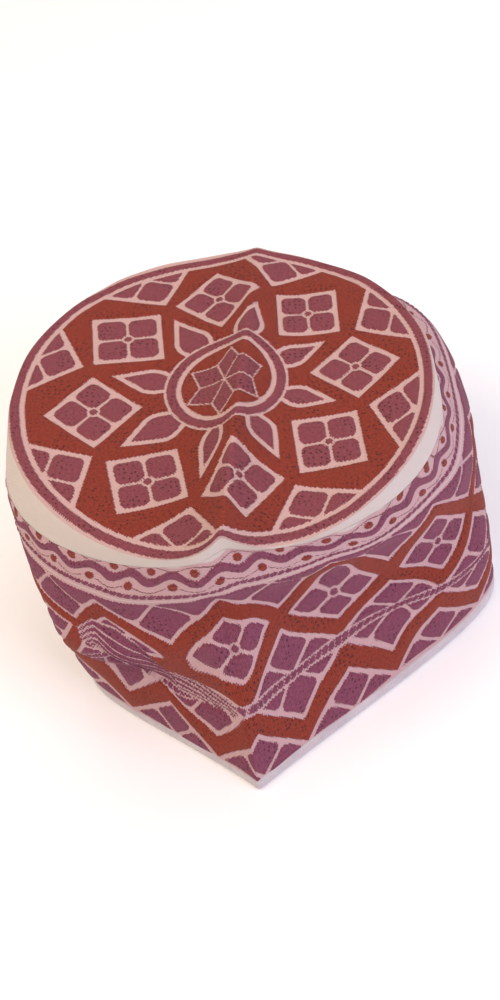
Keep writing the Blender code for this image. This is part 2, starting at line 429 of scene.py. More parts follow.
class LeafSeen(NamedTuple):
    """A leaf's corners in the photograph, and the tip of the half diamond beyond it, px."""

    tip: Pixel
    waist: Pixel
    other_waist: Pixel
    beyond: Pixel


class PetalSeen(NamedTuple):
    """A star petal's tip in the photograph, and the notch between it and the next petal, px."""

    tip: Pixel
    notch: Pixel


# This table and the next two were read off the photograph
DIAMOND_CORNERS = (
    DiamondSeen((91.1, 320.4), (159.3, 313.6), (163.6, 358.6), (97.4, 367.1)),
    DiamondSeen((90.7, 378.6), (140.7, 406.6), (99.7, 448.6), (41.8, 415.7)),
    DiamondSeen((107.1, 460.7), (176.4, 448.9), (188.6, 497.9), (115.7, 514.3)),
    DiamondSeen((231.4, 436.9), (285.7, 478.6), (245.4, 518.6), (201.4, 494.3)),
    DiamondSeen((291.4, 421.7), (356.4, 409.3), (368.3, 461.1), (299.7, 472.6)),
    DiamondSeen((347.9, 336.9), (402.1, 358.3), (360.7, 397.9), (311.1, 372.9)),
    DiamondSeen((272.1, 296.4), (336.9, 290.0), (341.4, 329.3), (280.0, 336.0)),
    DiamondSeen((175.7, 308.3), (217.1, 272.6), (260.0, 287.9), (221.4, 326.4)),
)


class CrownSpoke(NamedTuple):
    """A leaf, and the half diamond at the edge beyond it, as they lie on the chart."""

    heading: float       # of the leaf, degrees
    tip: float           # radius of its point, mm
    waist: float         # radius where it is widest
    half: float          # its half width there
    outer_heading: float
    outer_tip: float     # radius of the half diamond's point


LEAF_CORNERS = (
    LeafSeen((174.3, 320.7), (211.4, 331.4), (176.4, 352.9), (166.0, 305.5)),
    LeafSeen((112.1, 376.4), (154.3, 368.6), (150.0, 397.1), (83.6, 367.0)),
    LeafSeen((120.0, 447.4), (150.7, 413.6), (171.4, 441.4), (92.5, 457.0)),
    LeafSeen((200.0, 480.0), (190.7, 447.1), (220.7, 434.3), (191.0, 506.8)),
    LeafSeen((280.0, 458.6), (275.0, 424.3), (243.6, 429.3), (295.0, 484.5)),
    LeafSeen((337.1, 400.7), (301.4, 383.6), (295.7, 410.0), (369.0, 405.0)),
    LeafSeen((325.7, 340.7), (282.9, 344.0), (298.6, 366.4), (355.0, 330.0)),
    LeafSeen((257.1, 301.7), (232.1, 325.7), (265.7, 329.3), (272.0, 286.5)),
)
STAR_CORNERS = (
    PetalSeen((192.0, 373.5), (200.0, 388.5)),
    PetalSeen((188.0, 405.0), (212.0, 404.0)),
    PetalSeen((219.5, 414.0), (233.5, 391.0)),
    PetalSeen((259.0, 397.5), (252.0, 377.5)),
    PetalSeen((261.5, 366.0), (239.0, 354.5)),
    PetalSeen((231.0, 347.0), (218.0, 366.0)),
)
# Radii that a scratch script worked out from the photograph, then smoothed by hand
EDGE_HEADINGS = (-180.0, -135.0, -90.0, -45.0, -10.0, 10.0, 30.0, 60.0, 90.0, 135.0, 180.0)
EDGE_WANDER = (-1.0, 2.0, -0.5, 0.2, 0.9, -2.2, -0.4, 0.7, 0.4, -0.8, -1.0)   # of the edge ring, mm


class Chart:
    """Signed distances, mm, of each thread's patches over a set of places."""

    def __init__(self, places: np.ndarray, ground: Thread) -> None:
        """Starts with one thread everywhere.

        Args:
            places: array whose shape the chart takes.
            ground: the thread that covers the ground.
        """
        self.distance = {thread: np.full(places.shape, FAR if thread is ground else -FAR)
                         for thread in Thread}

    def stitch(self, region: np.ndarray, thread: Thread) -> None:
        """Covers a region, where its signed distance is positive, with one thread."""
        for other, held in self.distance.items():
            if other is thread:
                np.maximum(held, region, out=held)
            else:
                np.minimum(held, -region, out=held)


def diamond(p: np.ndarray, q: np.ndarray, a: float, b: float) -> np.ndarray:
    """Signed distance of a diamond: (1 - |p|/a - |q|/b) scaled to millimetres."""
    return (1.0 - np.abs(p) / a - np.abs(q) / b) * a * b / math.hypot(a, b)


def rounded(radius: float, *distances: np.ndarray) -> np.ndarray:
    """Region inside several edges, with its corners rounded.

    The distance is radius - |max(radius - d, 0)| over the edges, which is the
    least of them away from the corners.

    Args:
        radius: of the corners, mm.
        distances: signed distances of the edges.

    Returns:
        The region's signed distance.
    """
    return radius - np.sqrt(sum(np.maximum(radius - d, 0.0) ** 2 for d in distances))


def polygon(p: np.ndarray, q: np.ndarray, corners: tuple[tuple[float, float], ...]) -> np.ndarray:
    """Signed distance of a convex polygon: the least distance inside its edges' lines.

    Args:
        p: first coordinates of the places.
        q: second coordinates.
        corners: the corners, anticlockwise.

    Returns:
        Distance, positive inside.
    """
    inside = np.full(p.shape, np.inf)
    for (p0, q0), (p1, q1) in zip(corners, corners[1:] + corners[:1]):
        length = math.hypot(p1 - p0, q1 - q0)
        inside = np.minimum(inside, ((p1 - p0) * (q - q0) - (q1 - q0) * (p - p0)) / length)
    return inside


@dataclass(frozen=True)
class CrownPattern:
    """The round panel: a star in a ring, eight diamonds, kites and half diamonds.

    It is charted on the cloth itself, so places count along the cloth over the
    fold, about a centre beside the crest.
    """

    shape: CapShape
    studio: "Studio"
    centre_across: float = -5.8  # of the chart, from the crest, mm
    centre_along: float = 0.5
    turn: float = math.radians(-10.65)
    stretch: float = 1.015       # along the fold
    pull_across: float = 4.1     # how unevenly the cloth was stretched, mm at the edge
    pull_along: float = 1.2
    pull_radius: float = 80.0    # where the edge counts as being, for the pull
    leaf_soft: float = 3.0       # rounding of a leaf's border and of its middle, mm
    leaf_inner_soft: float = 2.4
    petal_line: float = 0.4      # half width of the cream line round a petal
    petal_over: float = 0.3      # how far a petal's line reaches over the disc's edge
    petal_longest: float = 19.4  # no petal reaches further from the star's centre, mm
    ray_from: float = 4.0        # height over the flat from which a pixel's point is looked for, mm
    ray_steps: int = 60
    border: float = 2.0          # cream border of a diamond, mm
    line: float = 0.6            # half width of a thin cream line, mm
    soft: float = 2.6            # rounding of the quarters, mm
    disc_east: float = -0.6      # centre of the ring, mm
    disc_north: float = 2.3
    star_east: float = -2.0
    star_north: float = 2.1
    disc_radius: float = 19.6
    ring_inner: float = 21.7
    ring_outer: float = 25.3
    ring_edge: float = 26.4
    edge_line: float = 78.0
    edge_ring: float = 79.9
    edge_end: float = 83.4
    foot: float = 23.0           # radius where the leaves' feet start, under the ring
    outer_radial: float = 18.8
    outer_across: float = 22.0
    samples: int = 48

    def place(self, x: np.ndarray, y: np.ndarray) -> tuple[np.ndarray, np.ndarray]:
        """Places east and north on the chart.

        The arc length across the fold is its plan length times the mean of
        sqrt(1 + slope^2) over even steps from the crest.

        Args:
            x: places across the cap in plan, mm.
            y: places along it.

        Returns:
            The places on the chart.
        """
        shape = self.shape
        across, along = shape.fold_place(x, y)
        crest = shape.ridge_height - shape.ridge_slope * along
        run = np.zeros_like(across)
        for share in (np.arange(self.samples) + 0.5) / self.samples:
            at = across * share
            hyp = np.sqrt(at ** 2 + shape.ridge_nose ** 2)
            fall = np.exp(-(hyp - shape.ridge_nose) / shape.ridge_width) / shape.ridge_width
            run += np.sqrt(1.0 + (at / hyp) ** 2 * (shape.flank_rise - crest * fall) ** 2)
        m = across * run / self.samples - self.centre_across
        l = along - self.centre_along
        east = math.cos(self.turn) * m - math.sin(self.turn) * l
        north = math.sin(self.turn) * m + math.cos(self.turn) * l
        return (east + self.pull_across * (east / self.pull_radius) ** 2,
                self.stretch * north + self.pull_along * (north / self.pull_radius) ** 2)

    def seen(self, pixels: tuple[Pixel, ...] | list[Pixel]) -> np.ndarray:
        """Places east and north on the chart that pixels of the photograph show.

        A pixel's ray is followed to a height, and the crown's own height there
        halves the step to the next one, until both meet.

        Args:
            pixels: their places, px from the photograph's top left.

        Returns:
            Array of rows of east and north.
        """
        eye, rays = self.studio.rays(np.array(pixels), self.shape.crown_height)
        height = np.full(len(rays), self.shape.crown_height + self.ray_from)
        for _ in range(self.ray_steps):
            at = eye + rays * ((height - eye[2]) / rays[:, 2])[:, None]
            height = 0.5 * (height + self.shape.crown_point(at[:, 0], at[:, 1])[:, 2])
        return np.column_stack(self.place(at[:, 0], at[:, 1]))

    def axes(self, point: np.ndarray) -> tuple[float, np.ndarray, np.ndarray]:
        """Works out how a point lies from the chart's middle.

        Args:
            point: its place, east and north on the chart.

        Returns:
            Its heading in degrees, and unit directions along the heading and across it.
        """
        heading = math.atan2(point[0], -point[1])
        sine, cosine = math.sin(heading), math.cos(heading)
        return math.degrees(heading), np.array([sine, -cosine]), np.array([cosine, sine])

    def diamonds(self) -> list[CrownDiamond]:
        """Works out the large diamonds from their corners in the photograph.

        Returns:
            The diamonds, each with its place, half diagonals and tilt.
        """
        rows = []
        for diamond in DIAMOND_CORNERS:
            points = self.seen(diamond)
            centre = points.mean(axis=0)
            heading, spoke, side = self.axes(centre)
            out, across = (points - centre) @ spoke, (points - centre) @ side
            far, near = np.argmax(out), np.argmin(out)
            tilt = math.degrees(math.atan2(across[far] - across[near], out[far] - out[near]))
            rows.append(CrownDiamond(heading, np.linalg.norm(centre), 0.5 * np.ptp(out),
                                     0.5 * np.ptp(across), tilt))
        return rows

    def spokes(self) -> list[CrownSpoke]:
        """Works out the leaves and half diamonds from their corners in the photograph.

        Returns:
            The leaves, each with its place and sizes and the half diamond's tip.
        """
        rows = []
        for leaf in LEAF_CORNERS:
            tip, *waists, beyond = self.seen(leaf)
            heading, spoke, side = self.axes(tip)
            waists = np.array(waists)
            rows.append(CrownSpoke(heading, np.linalg.norm(tip), (waists @ spoke).mean(),
                                   np.abs(waists @ side).mean(), self.axes(beyond)[0],
                                   np.linalg.norm(beyond)))
        return rows

    def petal_corners(self, pixels: list[Pixel]) -> np.ndarray:
        """Places south and east of the star's centre that pixels of the photograph show."""
        return (self.seen(pixels) - (self.star_east, self.star_north))[:, ::-1] * (-1.0, 1.0)

    def local(self, east: np.ndarray, north: np.ndarray, heading: float, radius: float,
              tilt: float = 0.0) -> tuple[np.ndarray, np.ndarray]:
        """Places along and across a spoke from a point on it.

        Args:
            east: places on the chart.
            north: places on the chart.
            heading: of the spoke, degrees.
            radius: of the point, mm.
            tilt: turn of the axes off the spoke, degrees.

        Returns:
            The places along and across.
        """
        spoke, axis = math.radians(heading), math.radians(heading + tilt)
        de = east - radius * math.sin(spoke)
        dn = north + radius * math.cos(spoke)
        return (de * math.sin(axis) - dn * math.cos(axis), de * math.cos(axis) + dn * math.sin(axis))

    def chart(self, x: np.ndarray, y: np.ndarray) -> Chart:
        """Charts the panel over places in plan.

        Args:
            x: places across, mm.
            y: places along, mm.

        Returns:
            The chart of signed distances.
        """
        chart = Chart(x, Thread.RUST)
        east, north = self.place(x, y)
        for row in self.spokes():
            self.kite(chart, *self.local(east, north, row.heading, 0.0), row)
            p, q = self.local(east, north, row.outer_heading, row.outer_tip + self.outer_radial)
            self.quartered(chart, p, q, self.outer_radial, self.outer_across)
        for row in self.diamonds():
            p, q = self.local(east, north, row.heading, row.radius, row.tilt)
            self.quartered(chart, p, q, row.radial, row.across)
            eye = np.hypot(p, q)
            chart.stitch(EYE_CREAM - eye, Thread.CREAM)
            chart.stitch(EYE_MAUVE - eye, Thread.MAUVE)
            chart.stitch(EYE_DARK - eye, Thread.DARK)
        heading = np.degrees(np.arctan2(east, -north))
        edge = np.hypot(east, north) - np.interp(heading, EDGE_HEADINGS, EDGE_WANDER)
        chart.stitch(edge - self.edge_line, Thread.CREAM)
        chart.stitch(np.minimum(edge - self.edge_ring, self.edge_end - edge), Thread.MAUVE)
        self.star(chart, east, north)
        return chart

    def quartered(self, chart: Chart, p: np.ndarray, q: np.ndarray, a: float, b: float) -> None:
        """Stitches a diamond with a cream border and four mauve quarters.

        With h the distance of a side from the centre, u = h (p/a + q/b) and
        w = h (p/a - q/b) reach from -h to h across it. Each quarter is a rounded
        square in u and w, between the cross lines and the border.

        Args:
            chart: what it is stitched on.
            p: places along the spoke from its centre.
            q: places across.
            a: half diagonal along.
            b: half diagonal across.
        """
        h = a * b / math.hypot(a, b)
        u, w = h * np.abs(p / a + q / b), h * np.abs(p / a - q / b)
        chart.stitch(h - np.maximum(u, w), Thread.CREAM)
        inner = h - self.border
        quarters = rounded(self.soft, u - self.line, inner - u, w - self.line, inner - w)
        chart.stitch(quarters, Thread.MAUVE)

    def kite(self, chart: Chart, p: np.ndarray, q: np.ndarray, row: CrownSpoke) -> None:
        """Stitches a leaf that stands on the ring and points outwards.

        Each side is two straight edges, from the foot to the waist and on to the
        tip, with the waist rounded.

        Args:
            chart: what it is stitched on.
            p: places outwards along its spoke.
            q: places across.
            row: its sizes.
        """
        side = np.abs(q)
        foot, half = 0.5 * row.half, row.half
        slant = math.hypot(row.waist - self.foot, half - foot)
        inner = ((half - foot) * (p - self.foot) - (row.waist - self.foot) * (side - foot)) / slant
        slant = math.hypot(row.tip - row.waist, half)
        outer = (half * (row.tip - p) - (row.tip - row.waist) * side) / slant
        chart.stitch(rounded(self.leaf_soft, inner, outer), Thread.CREAM)
        middle = rounded(self.leaf_inner_soft, inner - self.border, outer - self.border)
        chart.stitch(middle, Thread.MAUVE)

    def star(self, chart: Chart, east: np.ndarray, north: np.ndarray) -> None:
        """Stitches the ring and, on its rust disc, the star of six petals."""
        radius = np.hypot(east - self.disc_east, north - self.disc_north)
        chart.stitch(self.ring_edge - radius, Thread.CREAM)
        chart.stitch(self.ring_outer - radius, Thread.MAUVE)
        chart.stitch(self.ring_inner - radius, Thread.CREAM)
        chart.stitch(self.disc_radius - radius, Thread.RUST)
        p, q = self.star_north - north, east - self.star_east
        tips = self.petal_corners([petal.tip for petal in STAR_CORNERS])
        notches = self.petal_corners([petal.notch for petal in STAR_CORNERS])
        reach = np.linalg.norm(tips, axis=1, keepdims=True)
        tips *= np.minimum(1.0, self.petal_longest / reach)
        for k, tip in enumerate(tips):
            corners = ((0.0, 0.0), tuple(notches[k - 1]), tuple(tip), tuple(notches[k]))
            petal = polygon(p, q, corners)
            over = self.disc_radius + self.petal_over - radius
            chart.stitch(np.minimum(petal + self.petal_line, over), Thread.CREAM)
            chart.stitch(petal - self.petal_line, Thread.MAUVE)


@dataclass(frozen=True)
class BandPattern:
    """The side band: dots and a wave at the top, then a lattice of crossing bands."""

    period: float = 48.0         # of the lattice round the cap, mm: a twelfth of the rim
    slope: float = 0.7625        # of the upper bands: 18.3 mm down in half a period
    low_slope: float = 0.69      # of the lowest band
    node: float = 45.3           # depth at which the upper bands cross
    low_peak: float = 73.5       # depth of the lowest band's peaks
    top_cross: float = 19.4      # depth where the top cells' lines cross
    band_half: float = 3.2
    border: float = 1.75
    line: float = 0.7
    soft: float = 2.4            # rounding of the cells' quarters
    lattice_top: float = 18.0
    lattice_end: float = 94.2
    low_cross: float = 67.7      # depth where the lower cells' lines cross
    low_cross_slope: float = 0.73
    end_cross: float = 94.5      # the same for the lowest cells
    midline: float = 68.5
    midline_strip: float = 2.1   # half width of the cream strip under its dashes
    dash_line: float = 12.5
    dash_strip: float = 2.3
    dash: float = 3.2            # spacing of the dashes
    dash_half: float = 1.3       # half height of a dash
    dash_gap: float = 0.2        # half the gap between two
    dash_soft: float = 0.6
    dash_lean: float = 0.5
    dot_turns: int = 32
    dot_phase: float = 1.827     # of the first top dot, in dots from the front crease
    top_dots: float = -0.4
    low_dots: float = 7.0
    dot_radius: float = 1.8
    dot_cream: float = 0.9       # cream ring round a dot, and its thin outline
    dot_outline: float = 0.15
    dot_eye: float = 0.4
    wave_depth: float = 3.0
    wave_swing: float = 1.9
    wave_half: float = 1.75
    wave_lean: float = 0.87      # narrows the ribbon where it runs aslant
    # Two dark lines that follow the wave, in the dark thread: painted shadow under the raised edge of the
    # wave's strip
    painted_shadow_lines: tuple[tuple[float, float], ...] = ((-2.0, -1.2), (8.6, 1.4))   # depth and swing
    painted_shadow_half: float = 0.22
    pleat_line: float = 0.45     # half width of the cream line on a pleat's crest
    pleat_fade: float = 6.0      # length over which the pleats start and end
    pleat_height: float = 0.5
    groove_depth: float = 1.3    # below the last pleat
    groove_width: float = 1.4
    stray_range: float = 26.0    # over which a stray dies away, mm
    stray_slack: float = 0.02    # lets the pattern miss a stray by a little

    def placed(self, turn: np.ndarray, down: np.ndarray,
               strays: np.ndarray) -> tuple[np.ndarray, np.ndarray]:
        """Places on the regular chart of places on the cloth.

        The strays are spread smoothly by the kernel (1 + s) exp(-s), with
        s = sqrt(3) * distance / range, weighted so that each of them is
        all but met.

        Args:
            turn: places round the cap, in twelfths of a turn from -6 to 6.
            down: depths along the cloth.
            strays: rows of turn, depth, and how far the pattern has moved down and round, mm.

        Returns:
            The turns and depths on the chart.
        """
        spots = strays[:, :2] * (self.period, 1.0)

        def kernel(away: np.ndarray) -> np.ndarray:
            """Influence at a distance."""
            s = math.sqrt(3.0) * away / self.stray_range
            return (1.0 + s) * np.exp(-s)

        apart = np.linalg.norm(spots[:, None] - spots[None], axis=2)
        slack = self.stray_slack * np.eye(len(strays))
        weights = np.linalg.solve(kernel(apart) + slack, strays[:, 2:])
        along = turn * self.period
        moved, shifted = np.zeros_like(along), np.zeros_like(along)
        for (spot_along, spot_down), (by_down, by_around) in zip(spots, weights):
            near = kernel(np.hypot(along - spot_along, down - spot_down))
            moved += by_down * near
            shifted += by_around * near
        return turn - shifted / self.period, down - moved

    def chart(self, turn: np.ndarray, down: np.ndarray, strays: np.ndarray) -> Chart:
        """Charts the band.

        Args:
            turn: places round the cap, in twelfths of a turn from the front crease.
            down: depths along the cloth, mm.
            strays: rows of turn, depth, and how far the pattern has moved down and round, mm.

        Returns:
            The chart of signed distances.
        """
        chart = Chart(turn, Thread.CREAM)
        inside, crest = self.tuck(turn, down)
        turn, v = self.placed(turn, down, strays)
        along = turn * self.period
        x = np.abs(along - self.period * np.round(turn))
        self.lattice(chart, x, v)
        for centre, strip in ((self.midline, self.midline_strip), (self.dash_line, self.dash_strip)):
            off = np.abs(v - centre)
            chart.stitch(strip - off, Thread.CREAM)
            lean = along + self.dash_lean * (v - centre)
            beside = 0.5 * self.dash - self.dash_gap - np.abs(lean % self.dash - 0.5 * self.dash)
            chart.stitch(rounded(self.dash_soft, self.dash_half - off, beside), Thread.MAUVE)
        self.wave(chart, turn, v)
        chart.stitch(inside, Thread.MAUVE)
        chart.stitch(np.minimum(inside + self.pleat_height, crest), Thread.CREAM)
        return chart

    def tuck_edges(self, turn: np.ndarray) -> tuple[np.ndarray, ...]:
        """Depths of the tuck's edges, the pitch of its pleats, and the room to its ends, mm."""
        places, tops, feet = np.array(TUCK).T
        top, foot = np.interp(turn, places, tops), np.interp(turn, places, feet)
        ends = np.minimum(turn - places[0], places[-1] - turn) * self.period
        return top, foot, np.maximum((foot - top) / PLEATS, PLEAT_PITCH), ends

    def tuck(self, turn: np.ndarray, down: np.ndarray) -> tuple[np.ndarray, np.ndarray]:
        """Distance inside the tuck's edges, and inside the cream line on each pleat's crest.

        Args:
            turn: places round the cap, in twelfths of a turn.
            down: depths along the cloth, mm.

        Returns:
            The two signed distances, mm.
        """
        top, foot, pitch, ends = self.tuck_edges(turn)
        inside = np.minimum(np.minimum(down - top, foot - down), ends)
        off = np.abs((down - top) / pitch - np.round((down - top) / pitch)) * pitch
        return inside, self.pleat_line - off

    def pleats(self, turn: np.ndarray, down: np.ndarray) -> np.ndarray:
        """Height of the tuck's pleats, mm: a cosine across them and a groove below the last.

        Args:
            turn: places round the cap, in twelfths of a turn.
            down: depths along the cloth, mm.

        Returns:
            The heights.
        """
        top, foot, pitch, ends = self.tuck_edges(turn)
        wave = self.pleat_height * (np.cos(2.0 * np.pi * (down - top) / pitch) - 1.0)
        wave = wave * np.clip(np.minimum(down - top, foot - down), 0.0, 1.0)
        groove = -self.groove_depth * np.exp(-((down - foot) / self.groove_width) ** 2)
        return np.clip(ends / self.pleat_fade, 0.0, 1.0) * (wave + groove)

    def lattice(self, chart: Chart, x: np.ndarray, v: np.ndarray) -> None:
        """Stitches the crossing bands and the quartered cells between them.

        The bands are three zigzags, v = v0 + slope * x up or down in each half
        period. Every cell is quartered by lines through its centre parallel to
        its sides.

        Args:
            chart: what it is stitched on.
            x: distance round the cap from the nearest peak column, mm.
            v: depth in the chart, mm.
        """
        half = 0.5 * self.period
        across = half - x
        rise = self.slope * half
        cosine = 1.0 / math.hypot(1.0, self.slope)
        upper = self.node - rise + self.slope * x
        lower = self.node + rise - self.slope * x
        low = self.low_peak + self.low_slope * x
        bands = np.minimum(np.minimum(np.abs(v - upper), np.abs(v - lower)), np.abs(v - low)) * cosine
        cross = np.where(
            v < upper, np.abs(v - self.top_cross) - self.slope * across,
            np.where(v < lower, np.abs(v - self.node) - self.slope * x,
                     np.where(v < low, np.abs(v - self.low_cross) - self.low_cross_slope * across,
                              np.abs(v - self.end_cross) - self.low_slope * x)))
        cell = bands - self.band_half - self.border
        quarter = rounded(self.soft, cell, np.abs(cross) * cosine - self.line)
        zone = np.minimum(v - self.lattice_top, self.lattice_end - v)
        chart.stitch(zone, Thread.CREAM)
        chart.stitch(np.minimum(quarter, zone), Thread.MAUVE)
        eye = np.hypot(x, v - self.node)
        chart.stitch(EYE_CREAM - eye, Thread.CREAM)
        chart.stitch(EYE_MAUVE - eye, Thread.MAUVE)
        chart.stitch(self.band_half - bands, Thread.RUST)
        chart.stitch(self.lattice_top - v, Thread.CREAM)
        chart.stitch(v - self.lattice_end, Thread.CREAM)

    def wave(self, chart: Chart, turn: np.ndarray, v: np.ndarray) -> None:
        """Stitches the mauve wave, the dots in its bends with their dark outlines and eyes, and two dark
        lines along the wave that are painted shadow under its raised edge.

        Args:
            chart: what they are stitched on.
            turn: places round the cap, in twelfths of a turn.
            v: depth in the chart, mm.
        """
        phase = turn / 12.0 * self.dot_turns - self.dot_phase
        swing = np.cos(2.0 * np.pi * phase)
        pitch = 12.0 * self.period / self.dot_turns
        off = np.abs(v - self.wave_depth - self.wave_swing * swing)
        chart.stitch(self.wave_half - self.wave_lean * off, Thread.MAUVE)
        # Painted shadow under the wave's raised edge, drawn as dark thread
        for depth, reach in self.painted_shadow_lines:
            chart.stitch(self.painted_shadow_half - np.abs(v - depth - reach * swing), Thread.DARK)
        for depth, shift in ((self.top_dots, 0.0), (self.low_dots, 0.5)):
            beside = (phase - shift - np.round(phase - shift)) * pitch
            away = np.hypot(beside, v - depth)
            chart.stitch(self.dot_radius + self.dot_cream - away, Thread.CREAM)
            chart.stitch(self.dot_radius + self.dot_outline - away, Thread.DARK)
            chart.stitch(self.dot_radius - away, Thread.RUST)
            chart.stitch(self.dot_eye - away, Thread.DARK)


def linear(code: str) -> tuple[float, float, float, float]:
    """Linear colour of an sRGB hex code."""
    parts = [int(code[k:k + 2], 16) / 255.0 for k in (1, 3, 5)]
    red, green, blue = (c / 12.92 if c <= 0.04045 else ((c + 0.055) / 1.055) ** 2.4 for c in parts)
    return red, green, blue, 1.0


def add_node(tree: bpy.types.NodeTree, kind: str, settings: dict[str, object] | None = None,
             inputs: dict[object, object] | None = None) -> bpy.types.Node:
    """Adds a node with its settings, and sets or links its inputs.

    Args:
        tree: the node tree.
        kind: type of the node.
        settings: properties of the node.
        inputs: socket name or number to a value or to another node's output.

    Returns:
        The node.
    """
    node = tree.nodes.new(kind)
    for name, value in (settings or {}).items():
        setattr(node, name, value)
    for name, value in (inputs or {}).items():
        if isinstance(value, bpy.types.NodeSocket):
            tree.links.new(value, node.inputs[name])
        else:
            node.inputs[name].default_value = value
    return node


@dataclass(frozen=True)
class StitchedCotton:
    """Polyester embroidery thread, machine stitched densely on cotton.

    It gives soft, slightly silky patches with a diagonal hatch, rows of needle
    holes, and borders whose stitch ends make fine teeth.
    """

    name: str
    rust: str
    rust_deep: str
    mauve: str
    mauve_deep: str
    cream: str
    cream_deep: str
    # The dark thread also paints the shadow lines along the wave's raised edge
    dark: str = "#7A4A42"        # the brown outline thread
    # A needle hole's dark colour is painted shade; the hole itself is only a shallow dent in the bump
    hole: str = "#3A1B1E"        # inside a needle hole
    plain: str = "#CBBFB7"       # bare cloth beyond the stitching
    teeth_mm: float = 1.5        # spacing of the stitch ends along a border
    hatch_mm: float = 0.9        # thread spacing, drawn about twice as coarse so that it shows
    hole_mm: float = 2.2         # spacing of the needle holes
    bare_from: float = 1.3       # distance inside the cream at which bare cloth starts, mm
    bare_full: float = 2.3       # and where no stitching is left
    thread_soft: float = 0.14    # half width of the ramp at a patch's edge, mm
    dark_soft: float = 0.10
    ragged_mm: float = 0.26      # most that chance moves a border
    checker_mm: float = 0.28     # height of the teeth
    hole_share: float = 0.7      # how much of its dark colour a hole shows

    def material(self) -> bpy.types.Material:
        """Builds the material; its chart comes from the piece's own attributes."""
        made = bpy.data.materials.new(self.name)
        made.use_nodes = True
        tree = made.node_tree
        shader = tree.nodes["Principled BSDF"]
        coords = add_node(tree, "ShaderNodeUVMap", {"uv_map": "cloth_mm"}).outputs["UV"]
        place = add_node(tree, "ShaderNodeMapping", inputs={"Vector": coords, "Scale": (100.0, 100.0, 1.0)})
        place = place.outputs["Vector"]
        distance = {
            thread: add_node(tree, "ShaderNodeAttribute", {"attribute_name": thread.value}).outputs["Fac"]
            for thread in (Thread.CREAM, Thread.RUST, Thread.DARK)}

        ragged = self.teeth(tree, place)
        cream = self.patch(tree, distance[Thread.CREAM], ragged, self.thread_soft)
        rust = self.patch(tree, distance[Thread.RUST], ragged, self.thread_soft)
        # Share of the dark thread: real outlines, and the painted shadow lines along the wave
        dark = self.patch(tree, distance[Thread.DARK], None, self.dark_soft)

        hatch = add_node(tree, "ShaderNodeTexWave",
                         {"wave_type": "BANDS", "bands_direction": "DIAGONAL", "wave_profile": "SIN"},
                         {"Vector": place, "Scale": 0.5 / self.hatch_mm, "Distortion": 1.6,
                          "Detail": 2.0, "Detail Scale": 1.2}).outputs["Fac"]
        fleck = add_node(tree, "ShaderNodeTexNoise", {"noise_dimensions": "2D"},
                         {"Vector": place, "Scale": 0.95, "Detail": 4.0, "Roughness": 0.7}).outputs["Fac"]
        shade = add_node(tree, "ShaderNodeMath", {"operation": "MULTIPLY_ADD"},
                         {0: hatch, 1: 0.16, 2: fleck}).outputs[0]
        shade = add_node(tree, "ShaderNodeMapRange", inputs={
            "Value": shade, "From Min": 0.36, "From Max": 0.80}).outputs["Result"]

        mauve_colour, rust_colour, cream_colour = (
            add_node(tree, "ShaderNodeMix", {"data_type": "RGBA"},
                     {0: share, 6: linear(deep), 7: linear(pale)}).outputs[2]
            for share, deep, pale in ((shade, self.mauve_deep, self.mauve),
                                      (shade, self.rust_deep, self.rust),
                                      (fleck, self.cream_deep, self.cream)))
        bare = add_node(tree, "ShaderNodeMapRange", {"interpolation_type": "SMOOTHSTEP"},
                        {"Value": distance[Thread.CREAM], "From Min": self.bare_from,
                         "From Max": self.bare_full}).outputs["Result"]
        cream_colour = add_node(tree, "ShaderNodeMix", {"data_type": "RGBA"},
                                {0: bare, 6: cream_colour, 7: linear(self.plain)}).outputs[2]
        # Needle holes: painted shade in the colour, and a dent in the bump
        holes = self.holes(tree, place, distance[Thread.CREAM])
        colour = mauve_colour
        for share, over in ((rust, rust_colour), (cream, cream_colour), (holes, linear(self.hole)),
                            (dark, linear(self.dark))):
            colour = add_node(tree, "ShaderNodeMix", {"data_type": "RGBA"},
                              {0: share, 6: colour, 7: over}).outputs[2]
        tree.links.new(colour, shader.inputs["Base Color"])

        raised = add_node(tree, "ShaderNodeMath", {"operation": "SUBTRACT"}, {0: 1.0, 1: cream}).outputs[0]
        height = add_node(tree, "ShaderNodeMath", {"operation": "MULTIPLY_ADD"},
                          {0: hatch, 1: 0.30, 2: raised}).outputs[0]
        height = add_node(tree, "ShaderNodeMath", {"operation": "MULTIPLY_ADD"},
                          {0: fleck, 1: 0.9, 2: height}).outputs[0]
        height = add_node(tree, "ShaderNodeMath", {"operation": "SUBTRACT"},
                          {0: height, 1: holes}).outputs[0]
        bump = add_node(tree, "ShaderNodeBump", inputs={
            "Strength": 0.8, "Distance": 0.30 * MM, "Height": height})
        tree.links.new(bump.outputs["Normal"], shader.inputs["Normal"])
        shader.inputs["Roughness"].default_value = 0.8
        shader.inputs["Specular IOR Level"].default_value = 0.2
        shader.inputs["Sheen Weight"].default_value = 0.06
        shader.inputs["Sheen Roughness"].default_value = 0.5
        return made

    def patch(self, tree: bpy.types.NodeTree, distance: object, ragged: object | None,
              soft: float) -> object:
        """Share of a thread: its signed distance, made ragged, through a short ramp.

        Args:
            tree: the node tree.
            distance: socket of the signed distance, mm.
            ragged: socket of the teeth's height, mm, or None.
            soft: half width of the ramp, mm.

        Returns:
            The socket of the share.
        """
        if ragged is not None:
            distance = add_node(tree, "ShaderNodeMath", {"operation": "ADD"},
                                {0: distance, 1: ragged}).outputs[0]
        ramp = add_node(tree, "ShaderNodeMapRange", {"interpolation_type": "SMOOTHSTEP"},
                        {"Value": distance, "From Min": -soft, "From Max": soft})
        return ramp.outputs["Result"]

